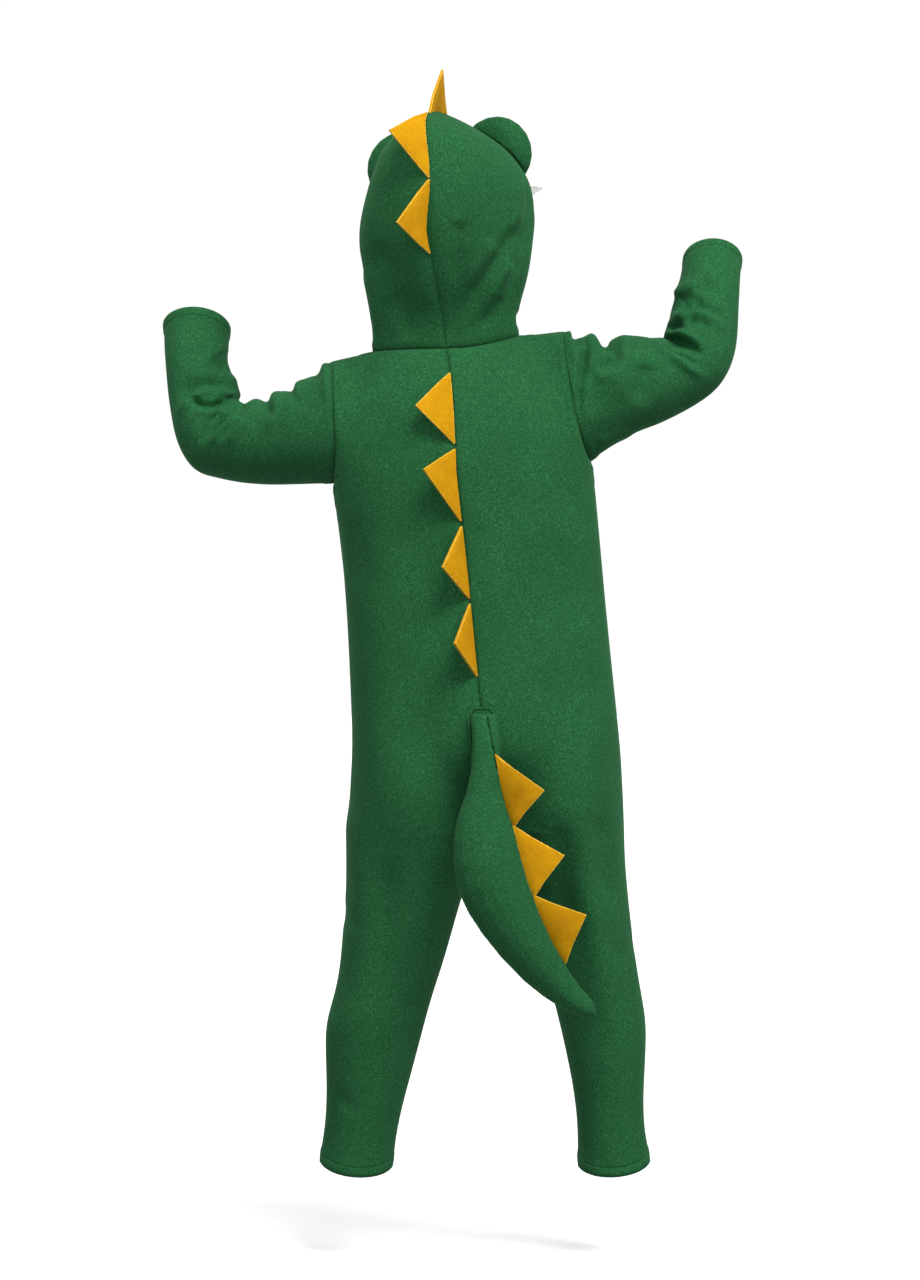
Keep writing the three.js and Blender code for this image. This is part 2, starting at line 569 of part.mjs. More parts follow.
// The four body panels
function bodyPanel(side, face) {
  const other = (otherSide, otherFace) => (u, v) => bodyPoint(otherSide, otherFace, u, v);
  return clothWall({
    surface: (u, v) => bodyPoint(side, face, u, v),
    rows: BODY_ROWS,
    columns: BODY_COLUMNS,
    flip: side * face < 0,
    trim: {
      left: (v) => (face === FRONT && v <= HIP_END + 1e-6 ? ZIP_OPENING / 2 : SEAM / 2),
      bottom: () => 0,
    },
    partner: {
      left: (v) => (v < CROTCH_END - 1e-6 ? other(-side, face) : other(side, -face)),
      right: (v) => (v > YOKE_END + 1e-6 ? other(side, -face) : null),
      top: (v, u) => (u > NECK_SHARE + 1e-6 ? other(side, -face) : null),
    },
  });
}

// The two sleeves. The first ring is the armhole seam, drawn out by the seam gap.
const SLEEVE_RINGS = 22;
const SLEEVE_SIDES = 2 * YOKE_STEPS;
const HEM_RIM = 0.8; // the folded cuff stands this much proud
function sleeve(side) {
  const outer = [];
  const inner = [];
  for (let i = 0; i <= SLEEVE_RINGS; i++) {
    const s = (i / SLEEVE_RINGS) * 11;
    const centre = vector(0, 0, 0);
    const ring = [];
    for (let j = 0; j < SLEEVE_SIDES; j++) {
      const point = sleevePoint(side, (j / SLEEVE_SIDES) * 2 * Math.PI, s);
      point.x += side * SEAM * 1.2 * Math.max(0, 1 - s);
      ring.push(point);
      centre.addScaledVector(point, 1 / SLEEVE_SIDES);
    }
    const rim = s > 10.6 ? HEM_RIM : 0;
    const outward = (p) => p.clone().sub(centre).multiply(vector(i === 0 ? 0 : 1, 1, 1)).normalize();
    outer.push(ring.map((p) => p.clone().addScaledVector(outward(p), rim)));
    inner.push(ring.map((p) => p.clone().addScaledVector(outward(p), -CLOTH)));
  }
  return solidFromGrids(outer, inner, true);
}

// The two halves of the hood
const HOOD_ROWS = 16;
const HOOD_COLUMNS = 4 * NECK_STEPS;
const FACE_TOP = 0.81; // the face opening ends at this share of the hood's rows
function hoodHalf(side) {
  const other = (u, v) => hoodPoint(-side, u, v);
  return clothWall({
    surface: (u, v) => hoodPoint(side, u, v),
    rows: HOOD_ROWS,
    columns: HOOD_COLUMNS,
    flip: side > 0,
    facing: (u, v) => (v > 0.99 ? THREE.MathUtils.clamp(u, 0.05, 0.95) : u),
    trim: { top: () => SEAM + 0.2, right: (v) => (v < 0.1 ? ZIP_OPENING / 2 : SEAM / 2) },
    partner: {
      left: () => other,
      right: (v) => (v > FACE_TOP ? other : null),
      bottom: () => other,
    },
  });
}

// A felt triangle with straight free edges. foot(t) is the line that it is sewn into, and rise(t)
// and lay(t) are the directions that stand up from the cloth and lie along it. It leans by an angle.
const SPIKE_STEPS = 6;
const BLUNT = 1.2; // height of the two blunt ends of the foot
function spike({
  foot,
  rise,
  lay,
  lean,
  height = SPIKE_HEIGHT,
  thickness = FELT,
  reach = 2,
  steps = SPIKE_STEPS,
  clear = 0.1,
  sag = 0,
}) {
  const [sine, cosine] = [Math.sin(radians(lean)), Math.cos(radians(lean))];
  const lift = SEAM + clear + (thickness / 2) * Math.abs(sine);
  const base = (t) => foot(t).addScaledVector(rise(t), lift);
  const way = (t) => rise(t).clone().multiplyScalar(cosine).addScaledVector(lay(t), sine);
  const down = base(1).sub(base(0)).normalize();
  const tip = base(0.5).addScaledVector(way(0.5), height).addScaledVector(down, sag);
  const ends = [0, 1].map((t) => base(t).addScaledVector(way(t), BLUNT));
  const upper = [];
  const lower = [];
  for (let i = 0; i <= steps; i++) {
    const t = i / steps;
    const low = base(t);
    const high = ends[t < 0.5 ? 0 : 1].clone().lerp(tip, 1 - Math.abs(2 * t - 1));
    const out = rise(t).clone().multiplyScalar(sine).addScaledVector(lay(t), -cosine);
    const row = [];
    for (let k = 0; k <= reach; k++) row.push(low.clone().lerp(high, k / reach));
    upper.push(row.map((p) => p.clone().addScaledVector(out, thickness / 2)));
    lower.push(row.map((p) => p.clone().addScaledVector(out, -thickness / 2)));
  }
  return solidFromGrids(upper, lower, false);
}

// v of a body panel at a height between the neck and the hip, on its centre seam
function backSeamAt(z) {
  let [high, low] = [0, HIP_END];
  for (let i = 0; i < 40; i++) {
    const middle = (high + low) / 2;
    if (bodyPoint(LEFT, BACK, 0, middle).z > z) high = middle;
    else low = middle;
  }
  return (high + low) / 2;
}

function backSpike({ z, lean, sag }) {
  const start = backSeamAt(z);
  const end = backSeamAt(z - SPIKE_BASE + 1);
  const seam = (t) => mix(start, end, t);
  const surface = (u, v) => bodyPoint(LEFT, BACK, u, v);
  return spike({
    foot: (t) => surface(0, seam(t)),
    rise: (t) => normalAt(surface, 0, seam(t), false).normal,
    lay: (t) => {
      const { normal, du } = normalAt(surface, 0, seam(t), false);
      const along = surface(0, seam(1)).sub(surface(0, seam(0))).cross(normal).normalize();
      return along.dot(du) < 0 ? along.negate() : along;
    },
    lean,
    sag,
  });
}

// A point of the hood's centre seam: down the nape by height, or along the crown by distance
// behind its middle.
function hoodSeamPoint(line, place) {
  if (line === "crown") {
    const reach = place > 0 ? read(HOOD, "v", "back", 1) : -read(HOOD, "v", "front", 1);
    const angle = Math.asin(THREE.MathUtils.clamp(place / reach, -1, 1));
    return { u: (Math.PI / 2 - angle) / Math.PI, v: 1 };
  }
  let [low, high] = [0, 1];
  for (let i = 0; i < 40; i++) {
    const middle = (high + low) / 2;
    if (hoodPoint(LEFT, 0, middle).z < place) low = middle;
    else high = middle;
  }
  return { u: 0, v: (high + low) / 2 };
}

function hoodSpike({ line, from, to, lean, sag }) {
  const place = (t) => hoodSeamPoint(line, mix(from, to, t));
  const turned = radians(read(HOOD, "v", "turn", 1));
  const leftward = vector(1, 0, 0).applyAxisAngle(vector(0, 0, 1), turned);
  const point = (t) => {
    const { u, v } = place(t);
    return hoodPoint(LEFT, u, v);
  };
  const rise = (t) => {
    const along = point(Math.min(1, t + 0.05)).sub(point(Math.max(0, t - 0.05))).normalize();
    const up = along.cross(leftward).normalize();
    return up.y + up.z < 0 ? up.negate() : up;
  };
  return spike({ foot: point, rise, lay: () => leftward.clone(), lean, sag });
}

// A stack of closed rings with a cap at each end, for a stuffed piece.
function stuffed(rings, tip) {
  const count = rings[0].length;
  const points = [...rings.flat()];
  const triangles = [];
  for (let i = 0; i < rings.length - 1; i++) {
    for (let j = 0; j < count; j++) {
      const k = (j + 1) % count;
      const [a, b, c, d] = [i * count + j, i * count + k, (i + 1) * count + k, (i + 1) * count + j];
      triangles.push([a, b, c], [a, c, d]);
    }
  }
  const middle = vector(0, 0, 0);
  rings[0].forEach((p) => middle.addScaledVector(p, 1 / count));
  points.push(middle, tip);
  const low = (rings.length - 1) * count;
  for (let j = 0; j < count; j++) {
    const k = (j + 1) % count;
    triangles.push([points.length - 2, k, j]);
    triangles.push([points.length - 1, low + j, low + k]);
  }
  return closed(points, triangles);
}

// Section of the tail at s: its middle, and the directions to the spiked side and to the back.
function tailSection(s) {
  const value = (column) => read(TAIL, "s", column, s);
  const low = vector(value("lowX"), value("y"), value("lowZ"));
  const spiked = vector(value("spikedX"), value("y"), value("spikedZ"));
  return {
    middle: low.clone().add(spiked).multiplyScalar(0.5),
    across: spiked.sub(low).multiplyScalar(0.5),
    deep: vector(0, value("deep"), 0),
    turn: radians(value("turn")),
  };
}

function tailPoint(s, angle) {
  const { middle, across, deep } = tailSection(s);
  return middle.addScaledVector(across, Math.cos(angle)).addScaledVector(deep, Math.sin(angle));
}

// One half of the tail, from the spiked seam round to the seam underneath.
const TAIL_RINGS = 14;
const TAIL_SIDES = 8;
function tailHalf(way) {
  const rings = [];
  for (let i = 0; i <= TAIL_RINGS; i++) {
    const s = (i / TAIL_RINGS) * 10;
    const { middle, turn, across } = tailSection(s);
    const shift = across.clone().normalize().applyAxisAngle(vector(0, 0, 1), 0);
    const out = shift.multiplyScalar(-Math.sin(turn)).add(vector(0, Math.cos(turn), 0));
    const ring = [];
    for (let j = 0; j <= TAIL_SIDES; j++) {
      const angle = turn + (way * j * Math.PI) / TAIL_SIDES;
      ring.push(tailPoint(s, angle).addScaledVector(out, (way * SEAM) / 2));
    }
    ring.push(middle.addScaledVector(out, (way * SEAM) / 2));
    rings.push(ring);
  }
  const tip = vector(TAIL_TIP.x, TAIL_TIP.y + (way * SEAM) / 2, TAIL_TIP.z);
  return stuffed(rings, tip);
}

function tailSpike({ from, to, tilt }) {
  const at = (t) => mix(from, to, t);
  const outward = (t) => {
    const { turn } = tailSection(at(t));
    const edge = tailPoint(at(t), turn);
    return edge.sub(tailSection(at(t)).middle).normalize();
  };
  return spike({
    foot: (t) => tailPoint(at(t), tailSection(at(t)).turn),
    rise: outward,
    lay: () => vector(0, 1, 0),
    lean: tilt * 2,
    clear: 0.55,
  });
}

// The welt that the root of the tail is sewn into, a tab on the back over the centre seam.
function tailWelt() {
  const surface = (u, v) => {
    const z = mix(WELT.top, WELT.bottom, v);
    const corner = Math.max(0, WELT.corner - v * (WELT.top - WELT.bottom));
    const narrow = WELT.corner - Math.sqrt(Math.max(0, WELT.corner ** 2 - corner ** 2));
    const x = mix(WELT.left - narrow, -WELT.right + narrow, u);
    return onBack(x, z, SEAM + 0.4 + CLOTH);
  };
  return clothWall({ surface, rows: 8, columns: 4, flip: true, trim: flatTrim });
}

// The point at a height over the back, x from the centre seam, and lifted off the cloth.
function onBack(x, z, lift) {
  const side = x >= 0 ? LEFT : RIGHT;
  const surface = (u, v) => bodyPoint(side, BACK, u, v);
  const v = panelAt(z);
  const seam = surface(0, v);
  let [near, far] = [0, 0.5];
  for (let i = 0; i < 30; i++) {
    const middle = (near + far) / 2;
    if (Math.abs(surface(middle, v).x - seam.x) < Math.abs(x)) near = middle;
    else far = middle;
  }
  const u = (near + far) / 2;
  const { normal } = normalAt(surface, u, v, side * BACK < 0);
  return surface(u, v).addScaledVector(normal, lift);
}
const flatTrim = { left: () => 0, right: () => 0, top: () => 0, bottom: () => 0 };

// v of a back panel at a height below the underarm, on its centre seam
function panelAt(z) {
  let [high, low] = [YOKE_END, CROTCH_END];
  for (let i = 0; i < 40; i++) {
    const middle = (high + low) / 2;
    if (bodyPoint(LEFT, BACK, 0, middle).z > z) high = middle;
    else low = middle;
  }
  return (high + low) / 2;
}

// A point of an eye bump, from its own place across, in front of and above its middle.
function eyePlace(side, wide, deep, tall) {
  const { x, y, z, lean, turn } = EYES[side];
  return vector(wide, -deep, tall)
    .applyAxisAngle(vector(0, 1, 0), radians(lean) * side)
    .applyAxisAngle(vector(0, 0, 1), radians(turn))
    .add(vector(x, y, z));
}

// A closed cushion round an eye bump's middle, by the angle round its face and the angle back
// from the middle of its front.
function eyeSurface(side, round, tip) {
  const flat = Math.sin(tip) ** (2 / EYE.power);
  const deep = Math.sign(Math.cos(tip)) * Math.abs(Math.cos(tip)) ** (2 / EYE.power);
  const [across, up] = [EYE.wide * flat * Math.cos(round), EYE.tall * flat * Math.sin(round)];
  return eyePlace(side, across, EYE.deep * deep, up);
}

const EYE_RINGS = 8;
const EYE_SIDES = 20;
const HOOD_CLEARANCE = 0.5;
function eyeBump(side) {
  const rings = [];
  for (let i = 1; i < EYE_RINGS; i++) {
    rings.push(ringOf(EYE_SIDES, (round) => eyeSurface(side, round, (i / EYE_RINGS) * Math.PI)));
  }
  const cushion = discSolid(rings, eyeSurface(side, 0, 0), eyeSurface(side, 0, Math.PI));
  return geometryOf(manifoldOf(cushion).subtract(hoodVolume(side)));
}

// What is inside one side of the hood's top, a little larger than the cloth.
function hoodVolume(side) {
  const points = [];
  const surface = (u, v) => hoodPoint(side, u, v);
  for (let i = Math.round(HOOD_ROWS / 2); i <= HOOD_ROWS; i++) {
    for (let j = 0; j <= HOOD_COLUMNS; j++) {
      const [u, v] = [j / HOOD_COLUMNS, i / HOOD_ROWS];
      const { normal } = normalAt(surface, THREE.MathUtils.clamp(u, 0.05, 0.95), v, side > 0);
      const { x, y, z } = surface(u, v).addScaledVector(normal, HOOD_CLEARANCE);
      points.push([x, y, z]);
    }
  }
  return wasm.Manifold.hull(points);
}

const ringOf = (count, point) =>
  Array.from({ length: count }, (_, j) => point((j / count) * 2 * Math.PI));

// A closed solid from rings that start round one point and end round another.
function discSolid(rings, first, last) {
  const count = rings[0].length;
  const points = [...rings.flat(), first, last];
  const triangles = [];
  rings.slice(1).forEach((_, i) => {
    for (let j = 0; j < count; j++) {
      const k = (j + 1) % count;
      const [a, b, c, d] = [i * count + j, i * count + k, (i + 1) * count + k, (i + 1) * count + j];
      triangles.push([a, b, c], [a, c, d]);
    }
  });
  const end = (rings.length - 1) * count;
  for (let j = 0; j < count; j++) {
    const k = (j + 1) % count;
    triangles.push([points.length - 2, k, j], [points.length - 1, end + j, end + k]);
  }
  return closed(points, triangles);
}

// A felt oval on the front of an eye bump, on the bump's curve.
const OVAL_SIDES = 14;
function eyeOval(side, { up, wide, tall, thickness, lift }) {
  const place = (share, height) => (round) => {
    const [x, z] = [share * wide * Math.cos(round), up + share * tall * Math.sin(round)];
    const far = Math.min(0.98, Math.hypot(x / EYE.wide, z / EYE.tall));
    const deep = EYE.deep * (1 - far ** EYE.power) ** (1 / EYE.power);
    return eyePlace(side, x, deep + height, z);
  };
  const rings = [
    ringOf(OVAL_SIDES, place(0.5, lift + thickness)),
    ringOf(OVAL_SIDES, place(1, lift + thickness)),
    ringOf(OVAL_SIDES, place(1, lift)),
    ringOf(OVAL_SIDES, place(0.5, lift)),
  ];
  return discSolid(rings, place(0, lift + thickness)(0), place(0, lift)(0));
}

// A fang on the edge of the brim, splayed out from it.
function fang(side, { v, lean }) {
  const surface = (a, b) => hoodPoint(side, a, b);
  const brim = (place) => {
    const row = Math.floor(place * HOOD_ROWS);
    return surface(1, row / HOOD_ROWS).lerp(surface(1, (row + 1) / HOOD_ROWS), place * HOOD_ROWS - row);
  };
  const length = brim(v + 0.01).sub(brim(v - 0.01)).length() / 0.02;
  const span = FANG.base / length / 2;
  const { normal, du } = normalAt(surface, 1, v, side > 0);
  return spike({
    foot: (t) => brim(v + mix(-span, span, t)).addScaledVector(normal, -CLOTH / 2),
    rise: () => du.clone(),
    lay: () => normal.clone(),
    lean,
    height: FANG.height,
    thickness: FANG.thickness,
    reach: 2,
    steps: 4,
    clear: 0.25,
  });
}

// The zip: tape between the fronts, slider, and a pull tab that hangs from the slider's loop.
const ZIP_TOP = -34;
const ZIP_BOTTOM = HIP + 1;
const ZIP_RECESS = 0.5;
function frontLine(z) {
  let [high, low] = [0, HIP_END];
  for (let i = 0; i < 40; i++) {
    const middle = (high + low) / 2;
    if (bodyPoint(LEFT, FRONT, 0, middle).z > z) high = middle;
    else low = middle;
  }
  return bodyPoint(LEFT, FRONT, 0, (high + low) / 2);
}

function zipTape() {
  const surface = (u, v) => {
    const point = frontLine(mix(ZIP_TOP, ZIP_BOTTOM, v));
    return vector(point.x + mix(-0.5, 0.5, u) * ZIP_TAPE_WIDTH, point.y + ZIP_RECESS, point.z);
  };
  const thickness = ZIP_TAPE_THICKNESS;
  return clothWall({ surface, rows: 20, columns: 1, flip: true, thickness, trim: flatTrim });
}

const SLIDER = { z: -64, width: 7.4, length: 12, thickness: 3, loopWidth: 3, bar: 1.3, window: 3 };
const PULL = { width: 7, length: 27, thickness: 1.4, bar: 1.3, hole: 4.6, holeWidth: 4.4 };

function manifoldOf(geometry) {
  const bare = geometry.index ? geometry.clone() : mergeVertices(stripped(geometry), 1e-4);
  const merged = mergeVertices(stripped(bare), 1e-4);
  return new wasm.Manifold(
    new wasm.Mesh({
      numProp: 3,
      vertProperties: new Float32Array(merged.getAttribute("position").array),
      triVerts: new Uint32Array(merged.index.array),
    }),
  );
}

function stripped(geometry) {
  const bare = new THREE.BufferGeometry().setAttribute("position", geometry.getAttribute("position"));
  if (geometry.index) bare.setIndex(geometry.index);
  return bare;
}

function geometryOf(manifold) {
  const mesh = manifold.getMesh();
  const geometry = new THREE.BufferGeometry();
  geometry.setAttribute("position", new THREE.BufferAttribute(new Float32Array(mesh.vertProperties), 3));
  geometry.setIndex(new THREE.BufferAttribute(new Uint32Array(mesh.triVerts), 1));
  return geometry;
}

const block = (x, y, z) => new THREE.BoxGeometry(x, y, z);

// The slider lies on the tape. Its loop stands out in front, with a window for the pull's bar.
function zipSlider() {
  const half = SLIDER.width / 2;
  const outline = new THREE.Shape();
  outline.moveTo(-half, SLIDER.length * 0.5);
  outline.lineTo(half, SLIDER.length * 0.5);
  outline.lineTo(half, 0);
  outline.lineTo(half * 0.6, -SLIDER.length * 0.5);
  outline.lineTo(-half * 0.6, -SLIDER.length * 0.5);
  outline.lineTo(-half, 0);
  outline.closePath();
  const body = new THREE.ExtrudeGeometry(outline, { depth: SLIDER.thickness, bevelEnabled: false });
  body.rotateX(Math.PI / 2);
  const loopTall = SLIDER.window + SLIDER.bar * 2;
  const loopDeep = SLIDER.window + SLIDER.bar;
  const loop = manifoldOf(block(SLIDER.loopWidth, loopDeep + 0.5, loopTall)).subtract(
    manifoldOf(
      block(SLIDER.loopWidth + 1, SLIDER.window, SLIDER.window).translate(0, SLIDER.bar / 2 - 0.1, 0),
    ),
  );
  const placed = loop.translate(0, -SLIDER.thickness - (loopDeep - 0.5) / 2, 0);
  return geometryOf(manifoldOf(body).add(placed));
}

// The pull tab, with its bar at the origin.
function zipPull() {
  const outline = new THREE.Shape();
  const half = PULL.width / 2;
  outline.moveTo(-half, PULL.bar / 2);
  outline.lineTo(half, PULL.bar / 2);
  outline.lineTo(half * 0.8, -PULL.length + half);
  outline.absarc(0, -PULL.length + half, half * 0.8, 0, -Math.PI, true);
  outline.closePath();
  const hole = new THREE.Path();
  const side = PULL.holeWidth / 2;
  hole.moveTo(-side, -PULL.bar / 2);
  hole.lineTo(-side, -PULL.bar / 2 - PULL.hole);
  hole.lineTo(side, -PULL.bar / 2 - PULL.hole);
  hole.lineTo(side, -PULL.bar / 2);
  hole.closePath();
  outline.holes.push(hole);
  const plate = new THREE.ExtrudeGeometry(outline, {
    depth: PULL.thickness,
    bevelEnabled: false,
    curveSegments: 6,
  });
  plate.translate(0, 0, -PULL.thickness / 2);
  plate.rotateX(Math.PI / 2);
  return plate;
}

const costume = new THREE.Group();

function add(name, geometry, look, parent = costume) {
  const mesh = new THREE.Mesh(geometry, new THREE.MeshStandardMaterial(look));
  mesh.name = name;
  parent.add(mesh);
  return mesh;
}

for (const [word, side] of [["left", LEFT], ["right", RIGHT]]) {
  add(`back_${word}`, bodyPanel(side, BACK), GREEN);
  add(`front_${word}`, bodyPanel(side, FRONT), GREEN);
  add(`sleeve_${word}`, sleeve(side), GREEN);
  add(`hood_${word}`, hoodHalf(side), GREEN);
  add(`eye_${word}`, eyeBump(side), GREEN);
  add(`eye_white_${word}`, eyeOval(side, EYE_WHITE), WHITE);
  add(`eye_pupil_${word}`, eyeOval(side, EYE_PUPIL), BLACK);
  FANGS.forEach((row, i) => add(`fang_${word}_${i + 1}`, fang(side, row), WHITE));
}
BACK_SPIKES.forEach((row) => add(row.name, backSpike(row), YELLOW));
HOOD_SPIKES.forEach((row) => add(row.name, hoodSpike(row), YELLOW));
TAIL_SPIKES.forEach((row) => add(row.name, tailSpike(row), YELLOW));
add("tail_welt", tailWelt(), GREEN);
add("tail_near", tailHalf(1), GREEN);
add("tail_far", tailHalf(-1), GREEN);

add("zip_tape", zipTape(), ZIP_GREEN);
// The slider and its pull lie along the slope of the chest.
const chest = frontLine(SLIDER.z);
const slope = Math.atan2(frontLine(SLIDER.z - 8).y - chest.y, 8);
const onTape = (geometry, forward) =>
  geometry
    .translate(0, -forward, 0)
    .rotateX(slope)
    .translate(chest.x, chest.y + ZIP_RECESS, SLIDER.z);
add("zip_slider", onTape(zipSlider(), SEAM), METAL);
add("zip_pull", onTape(zipPull(), SEAM + SLIDER.thickness + SLIDER.window / 2 + 0.2), METAL);

export default costume;
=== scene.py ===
import math

import bmesh
import bpy
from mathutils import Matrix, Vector, noise
from mathutils.bvhtree import BVHTree
from mathutils.kdtree import KDTree


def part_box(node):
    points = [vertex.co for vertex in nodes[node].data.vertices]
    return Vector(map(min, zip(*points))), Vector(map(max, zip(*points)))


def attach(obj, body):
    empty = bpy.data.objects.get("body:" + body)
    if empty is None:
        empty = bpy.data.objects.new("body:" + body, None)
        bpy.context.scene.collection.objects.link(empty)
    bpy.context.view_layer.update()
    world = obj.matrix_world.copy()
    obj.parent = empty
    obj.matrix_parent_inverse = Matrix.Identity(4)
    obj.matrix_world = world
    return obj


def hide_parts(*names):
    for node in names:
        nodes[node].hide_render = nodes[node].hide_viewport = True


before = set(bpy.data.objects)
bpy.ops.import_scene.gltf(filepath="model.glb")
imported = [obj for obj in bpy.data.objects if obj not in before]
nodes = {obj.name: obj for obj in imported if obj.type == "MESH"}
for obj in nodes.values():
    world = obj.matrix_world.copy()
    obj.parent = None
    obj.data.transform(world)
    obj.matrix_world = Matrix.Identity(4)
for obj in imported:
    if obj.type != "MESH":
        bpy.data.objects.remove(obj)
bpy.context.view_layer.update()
mm = 0.001
corner = math.radians(50)  # an edge sharper than this parts a piece's face from its sides


# meshes taken from the frame

def mergedCopy(name):
    bm = bmesh.new()
    bm.from_mesh(nodes[name].data)
    bmesh.ops.remove_doubles(bm, verts=bm.verts, dist=0.002 * mm)
    bm.normal_update()
    return bm


def smoothGroups(bm, angle):  # faces that meet at less than the angle, largest group first
    seen, groups = set(), []
    for first in bm.faces:
        if first in seen:
            continue
        seen.add(first)
        group = [first]
        for face in group:
            for edge in face.edges:
                for other in edge.link_faces:
                    if other not in seen and face.normal.angle(other.normal, 0) < angle:
                        seen.add(other)
                        group.append(other)
        groups.append(group)
    return sorted(groups, key=len, reverse=True)


def newPiece(name, bm):
    mesh = bpy.data.meshes.new(name)
    for edge in bm.edges:
        edge.smooth = True
    bm.to_mesh(mesh)
    bm.free()
    if "custom_normal" in mesh.attributes:  # the frame's own normals would hide every crease
        mesh.attributes.remove(mesh.attributes["custom_normal"])
    mesh.shade_smooth()
    piece = bpy.data.objects.new(name, mesh)
    bpy.context.scene.collection.objects.link(piece)
    return piece


def applyModifiers(piece):
    graph = bpy.context.evaluated_depsgraph_get()
    old = piece.data
    piece.data = bpy.data.meshes.new_from_object(piece.evaluated_get(graph))
    piece.modifiers.clear()
    bpy.data.meshes.remove(old)


def outerSkin(name):  # the cloth's outside, as a fine sheet with nothing behind it
    bm = mergedCopy(name)
    middle = sum((v.co for v in bm.verts), Vector()) / len(bm.verts)

    def facing(group):
        return sum(f.calc_area() * f.normal.dot(f.calc_center_median() - middle) for f in group)

    outside = set(max(smoothGroups(bm, corner)[:2], key=facing))
    bmesh.ops.delete(bm, geom=[f for f in bm.faces if f not in outside], context="FACES")
    bmesh.ops.join_triangles(bm, faces=bm.faces, angle_face_threshold=math.pi,
                             angle_shape_threshold=math.pi)
    piece = newPiece(name + "_cloth", bm)
    finer = piece.modifiers.new("finer", "SUBSURF")
    finer.levels = finer.render_levels = cloth["finer"]
    finer.boundary_smooth = "PRESERVE_CORNERS"
    applyModifiers(piece)
    return piece


# the cloth's seams, hems and creases

cloth = dict(
    sheets=("back_left", "back_right", "front_left", "front_right",
            "sleeve_left", "sleeve_right", "hood_left", "hood_right"),
    finer=3, thickness=2.2 * mm,
    seamDepth=1.5 * mm, seamWidth=7 * mm, seamGap=3 * mm,
    overlap=0.4 * mm, allowance=4.5 * mm, allowanceFrom=1.5,
    hem=11 * mm, hemLift=0.7 * mm, hemRise=3 * mm,
    unevenDepth=0.7 * mm, unevenSize=55 * mm, unevenFrom=30 * mm,
    # a crease fades towards a seam, a hem and the far side, and at its own two ends
    atSeam=0.15, fromSeam=9 * mm, atHem=0.3, fromHem=20 * mm, turn=0.35,
    creaseReach=2.5, creaseStart=0.2, creaseEnd=0.4,
)

